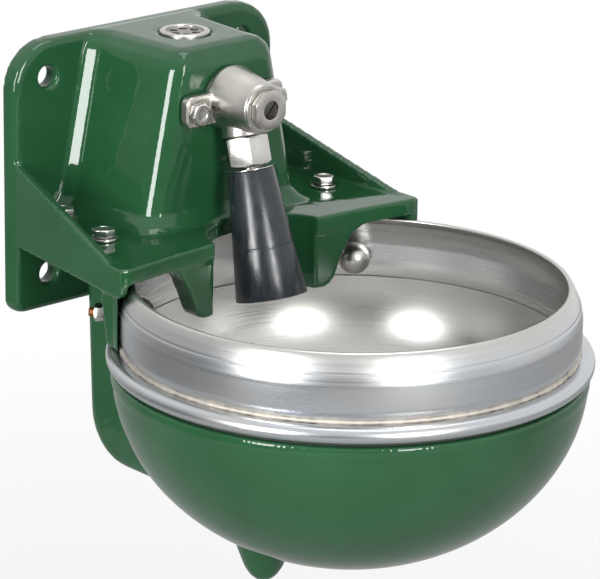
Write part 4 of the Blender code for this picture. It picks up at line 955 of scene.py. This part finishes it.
    def nut(self):
        """Union nut with a bore and a conical floor."""
        nut = chamfered_prism("plated_union_nut", NUT_FLATS, NUT_FOOT, NUT_TOP, low_face=0.0119,
                              high_face=0.0128, slope=0.55, turn=math.radians(-3))
        mouth, bore = 0.0095, 0.0113
        inside = [(0, NUT_FOOT - CUT_PAST), (mouth, NUT_FOOT - CUT_PAST), (mouth, NUT_FOOT + 0.0012),
                  (bore, NUT_FOOT + 0.005), (bore, NUT_TOP + CUT_PAST), (0, NUT_TOP + CUT_PAST)]
        cut(nut, turned(inside, 96))
        soften(nut, 0.0003, 2, 25.0)
        finish(nut, plated_steel(), along_branch(), MAIN_BODY, ("union_nut",), 25.0)


class FastenerOperator(bpy.types.Operator):
    """Hexagon bolts and washers of shelf and valve"""
    bl_idname = "drinking_bowl.fasteners"
    bl_label = "Bolts and washers"

    def execute(self, context):
        master = self.bolt()
        washer = as_object("washer", hoop(WASHER_BORE, WASHER_RADIUS, 0, WASHER_THICKNESS, 72, 0.0003))
        for name, turn in (("front_left", 8), ("front_right", 33), ("rear_left", 50), ("rear_right", 20)):
            node = "shelf_bolt_" + name
            middle, high = centre_of(node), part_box(node)[1].z
            place = Matrix.Translation((middle.x, middle.y, high - BOLT_HEAD))
            place = place @ Matrix.Rotation(math.radians(turn), 4, "Z")
            bolt = duplicate(master, "hexagon_bolt_" + name)
            finish(bolt, plated_steel(), place, MAIN_BODY, (node,))
            node = "shelf_washer_" + name
            middle, low = centre_of(node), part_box(node)[0].z
            place = Matrix.Translation((middle.x, middle.y, low))
            under = duplicate(washer, "flat_washer_" + name)
            finish(under, plated_steel(), place, MAIN_BODY, (node,))
        for side, turn in (("left", 12), ("right", 40)):
            node = "valve_bolt_" + side
            middle, front = centre_of(node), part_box(node)[0].y
            place = Matrix.Translation((middle.x, front + BOLT_HEAD, middle.z))
            place = place @ Matrix.Rotation(math.pi / 2, 4, "X") @ Matrix.Rotation(math.radians(turn), 4, "Z")
            bolt = duplicate(master, "lug_bolt_" + side)
            finish(bolt, plated_steel(), place, MAIN_BODY, (node,))
        for spare in (master, washer):
            bpy.data.objects.remove(spare)
        return {"FINISHED"}

    def bolt(self):
        """Hexagon bolt about Z: washer face, chamfered and dished head, shank with a chamfered end."""
        radius, foot = BOLT_RADIUS, -BOLT_LENGTH
        thing = chamfered_prism("bolt", BOLT_FLATS, 0.0004, BOLT_HEAD, high_face=BOLT_FLATS * 0.47, slope=0.5)
        cut(thing, rod(BOLT_FLATS * 0.46, 0.0, 0.0008, 72), "UNION")
        shank = [(0, foot), (radius - 0.0006, foot), (radius, foot + 0.0006), (radius, 0.0005), (0, 0.0005)]
        cut(thing, turned(shank, 48), "UNION")
        dished = [(0, BOLT_HEAD - 0.0004), (BOLT_FLATS * 0.26, BOLT_HEAD - 0.0003),
                  (BOLT_FLATS * 0.33, BOLT_HEAD + 0.0004), (0, BOLT_HEAD + 0.0004)]
        cut(thing, turned(dished, 72))
        soften(thing, 0.00022, 2, 25.0)
        return thing


class BallBoltOperator(bpy.types.Operator):
    """Ball-headed bolts through collar and legs, with their washers and nuts"""
    bl_idname = "drinking_bowl.ball_bolts"
    bl_label = "Ball-headed bolts"

    def execute(self, context):
        for side, azimuth in (("left", math.pi - BALL_AZIMUTH), ("right", BALL_AZIMUTH)):
            place = radial(azimuth)
            bolt = as_object("ball_head_bolt_" + side, turned(self.ball_profile(), 64))
            finish(bolt, ball_bolt_steel(), place, MAIN_BODY, ("ball_bolt_" + side,))
            ring = hoop(LEG_BOLT_BORE, 0.0062, LEG_WASHER, LEG_WASHER + 0.0012, 64, 0.0002)
            washer = as_object("nut_washer_" + side, ring)
            finish(washer, plated_steel(), place, MAIN_BODY, ("leg_washer_" + side,))
            nut = chamfered_prism("nut_" + side, LEG_NUT_FLATS, LEG_NUT, LEG_NUT_END, 0.0047, 0.0047, 0.55,
                                  math.radians(14))
            cut(nut, rod(LEG_BOLT_BORE, LEG_NUT - CUT_PAST, LEG_NUT_END + CUT_PAST, 48))
            soften(nut, 0.0002, 2, 25.0)
            finish(nut, plated_steel(), place, MAIN_BODY, ("leg_nut_" + side,), 25.0)
        return {"FINISHED"}

    def ball_profile(self):
        """Ball with a flat foot, and the shank that goes out through the leg."""
        end = math.asin((BALL_FOOT - BALL_CENTRE) / BALL_RADIUS)
        turns = [-math.pi / 2 + (math.pi / 2 + end) * step / 24 for step in range(25)]
        ball = [(BALL_RADIUS * math.cos(turn), BALL_CENTRE + BALL_RADIUS * math.sin(turn)) for turn in turns]
        ball[0] = (0.0, BALL_CENTRE - BALL_RADIUS)
        tip = LEG_NUT_END + 0.0036
        chamfer = 0.0006
        return ball + [(BALL_SHANK, BALL_FOOT), (BALL_SHANK, tip - chamfer), (BALL_SHANK - chamfer, tip),
                       (0.0, tip)]


class InletOperator(bpy.types.Operator):
    """Inlet bush in the tower's top with its perforated strainer"""
    bl_idname = "drinking_bowl.inlet"
    bl_label = "Inlet"

    def execute(self, context):
        middle = centre_of("inlet_bush")
        place = Matrix.Translation((middle.x, middle.y, 0.0))
        self.bush(place)
        self.strainer(place)
        return {"FINISHED"}

    def bush(self, place):
        """Bush with a chamfered mouth and the ledge that carries the strainer."""
        top, low = BUSH_HIGH.z, BUSH_LOW.z
        ledge, ledge_bore = STRAINER_LOW.z - PIECE_GAP, 0.0095
        bush = [(ledge_bore, low), (BUSH_RADIUS, low), (BUSH_RADIUS, top - 0.0006),
                (BUSH_RADIUS - 0.0008, top), (BUSH_BORE + 0.0006, top), (BUSH_BORE, top - 0.0005),
                (BUSH_BORE, ledge), (ledge_bore, ledge)]
        ring = as_object("inlet_bush_turned", turned(bush, 96, 0.0002, 2))
        finish(ring, valve_metal(), place, MAIN_BODY, ("inlet_bush",))

    def strainer(self, place):
        """Disc with a raised edge and a ring of holes."""
        low, high = STRAINER_LOW.z, STRAINER_HIGH.z
        edge, sunk = 0.0009, 0.0005
        disc = [(0, low), (STRAINER_RADIUS, low), (STRAINER_RADIUS, high), (STRAINER_RADIUS - edge, high),
                (STRAINER_RADIUS - edge - sunk, high - sunk), (0, high - sunk)]
        strainer = as_object("strainer_disc", turned(disc, 96, 0.00015, 2))
        for step in range(STRAINER_HOLES):
            turn = math.tau * step / STRAINER_HOLES
            hole = rod(STRAINER_HOLE, low - CUT_PAST, high + CUT_PAST, 32)
            way = (STRAINER_CIRCLE * math.cos(turn), STRAINER_CIRCLE * math.sin(turn), 0)
            cut(strainer, moved(hole, Matrix.Translation(way)))
        finish(strainer, strainer_metal(), place, MAIN_BODY, ("inlet_strainer",), 30.0)


class FrameNodesOperator(bpy.types.Operator):
    """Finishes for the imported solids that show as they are"""
    bl_idname = "drinking_bowl.frame_nodes"
    bl_label = "Other pieces"

    def execute(self, context):
        finishes_by_slot = {
            "green_enamel": enamel, "brushed_stainless": plated_steel, "cast_stainless": valve_metal,
            "bright_zinc": plated_steel, "black_rubber": rubber, "dark_steel": dark_steel, "brass": brass,
            "black_plastic": tube_plastic,
        }
        for part in frame["record"]["subparts"]:
            for slot in frame["nodes"][part["node"]].material_slots:
                slot.material = finishes_by_slot[part["material_slot"]]()
        return {"FINISHED"}


OPERATORS = (StageOperator, FrameNodesOperator, BracketOperator, ShellOperator, BowlOperator, TubeOperator,
             ValveOperator, FastenerOperator, BallBoltOperator, InletOperator)


class DrinkingBowlPanel(bpy.types.Panel):
    """Lists the pieces and their settings"""
    bl_idname = "VIEW3D_PT_drinking_bowl"
    bl_label = "Drinking bowl"
    bl_space_type = "VIEW_3D"
    bl_region_type = "UI"
    bl_category = "Drinking bowl"

    def draw(self, context):
        for settings in (context.scene.drinking_bowl_finish, context.scene.drinking_bowl_sizes):
            for name in settings.__annotations__:
                self.layout.prop(settings, name)
        for operator in OPERATORS:
            self.layout.operator(operator.bl_idname)


CLASSES = (DrinkingBowlFinish, DrinkingBowlSizes, *OPERATORS, DrinkingBowlPanel)


def register():
    """Register the classes and the scene's settings."""
    for item in CLASSES:
        bpy.utils.register_class(item)
    bpy.types.Scene.drinking_bowl_finish = PointerProperty(type=DrinkingBowlFinish)
    bpy.types.Scene.drinking_bowl_sizes = PointerProperty(type=DrinkingBowlSizes)


def unregister():
    """Undo register."""
    del bpy.types.Scene.drinking_bowl_finish
    del bpy.types.Scene.drinking_bowl_sizes
    for item in reversed(CLASSES):
        bpy.utils.unregister_class(item)


def main():
    """Build every piece."""
    register()
    for operator in OPERATORS:
        group, name = operator.bl_idname.split(".")
        getattr(getattr(bpy.ops, group), name)()


if __name__ == "__main__":
    main()
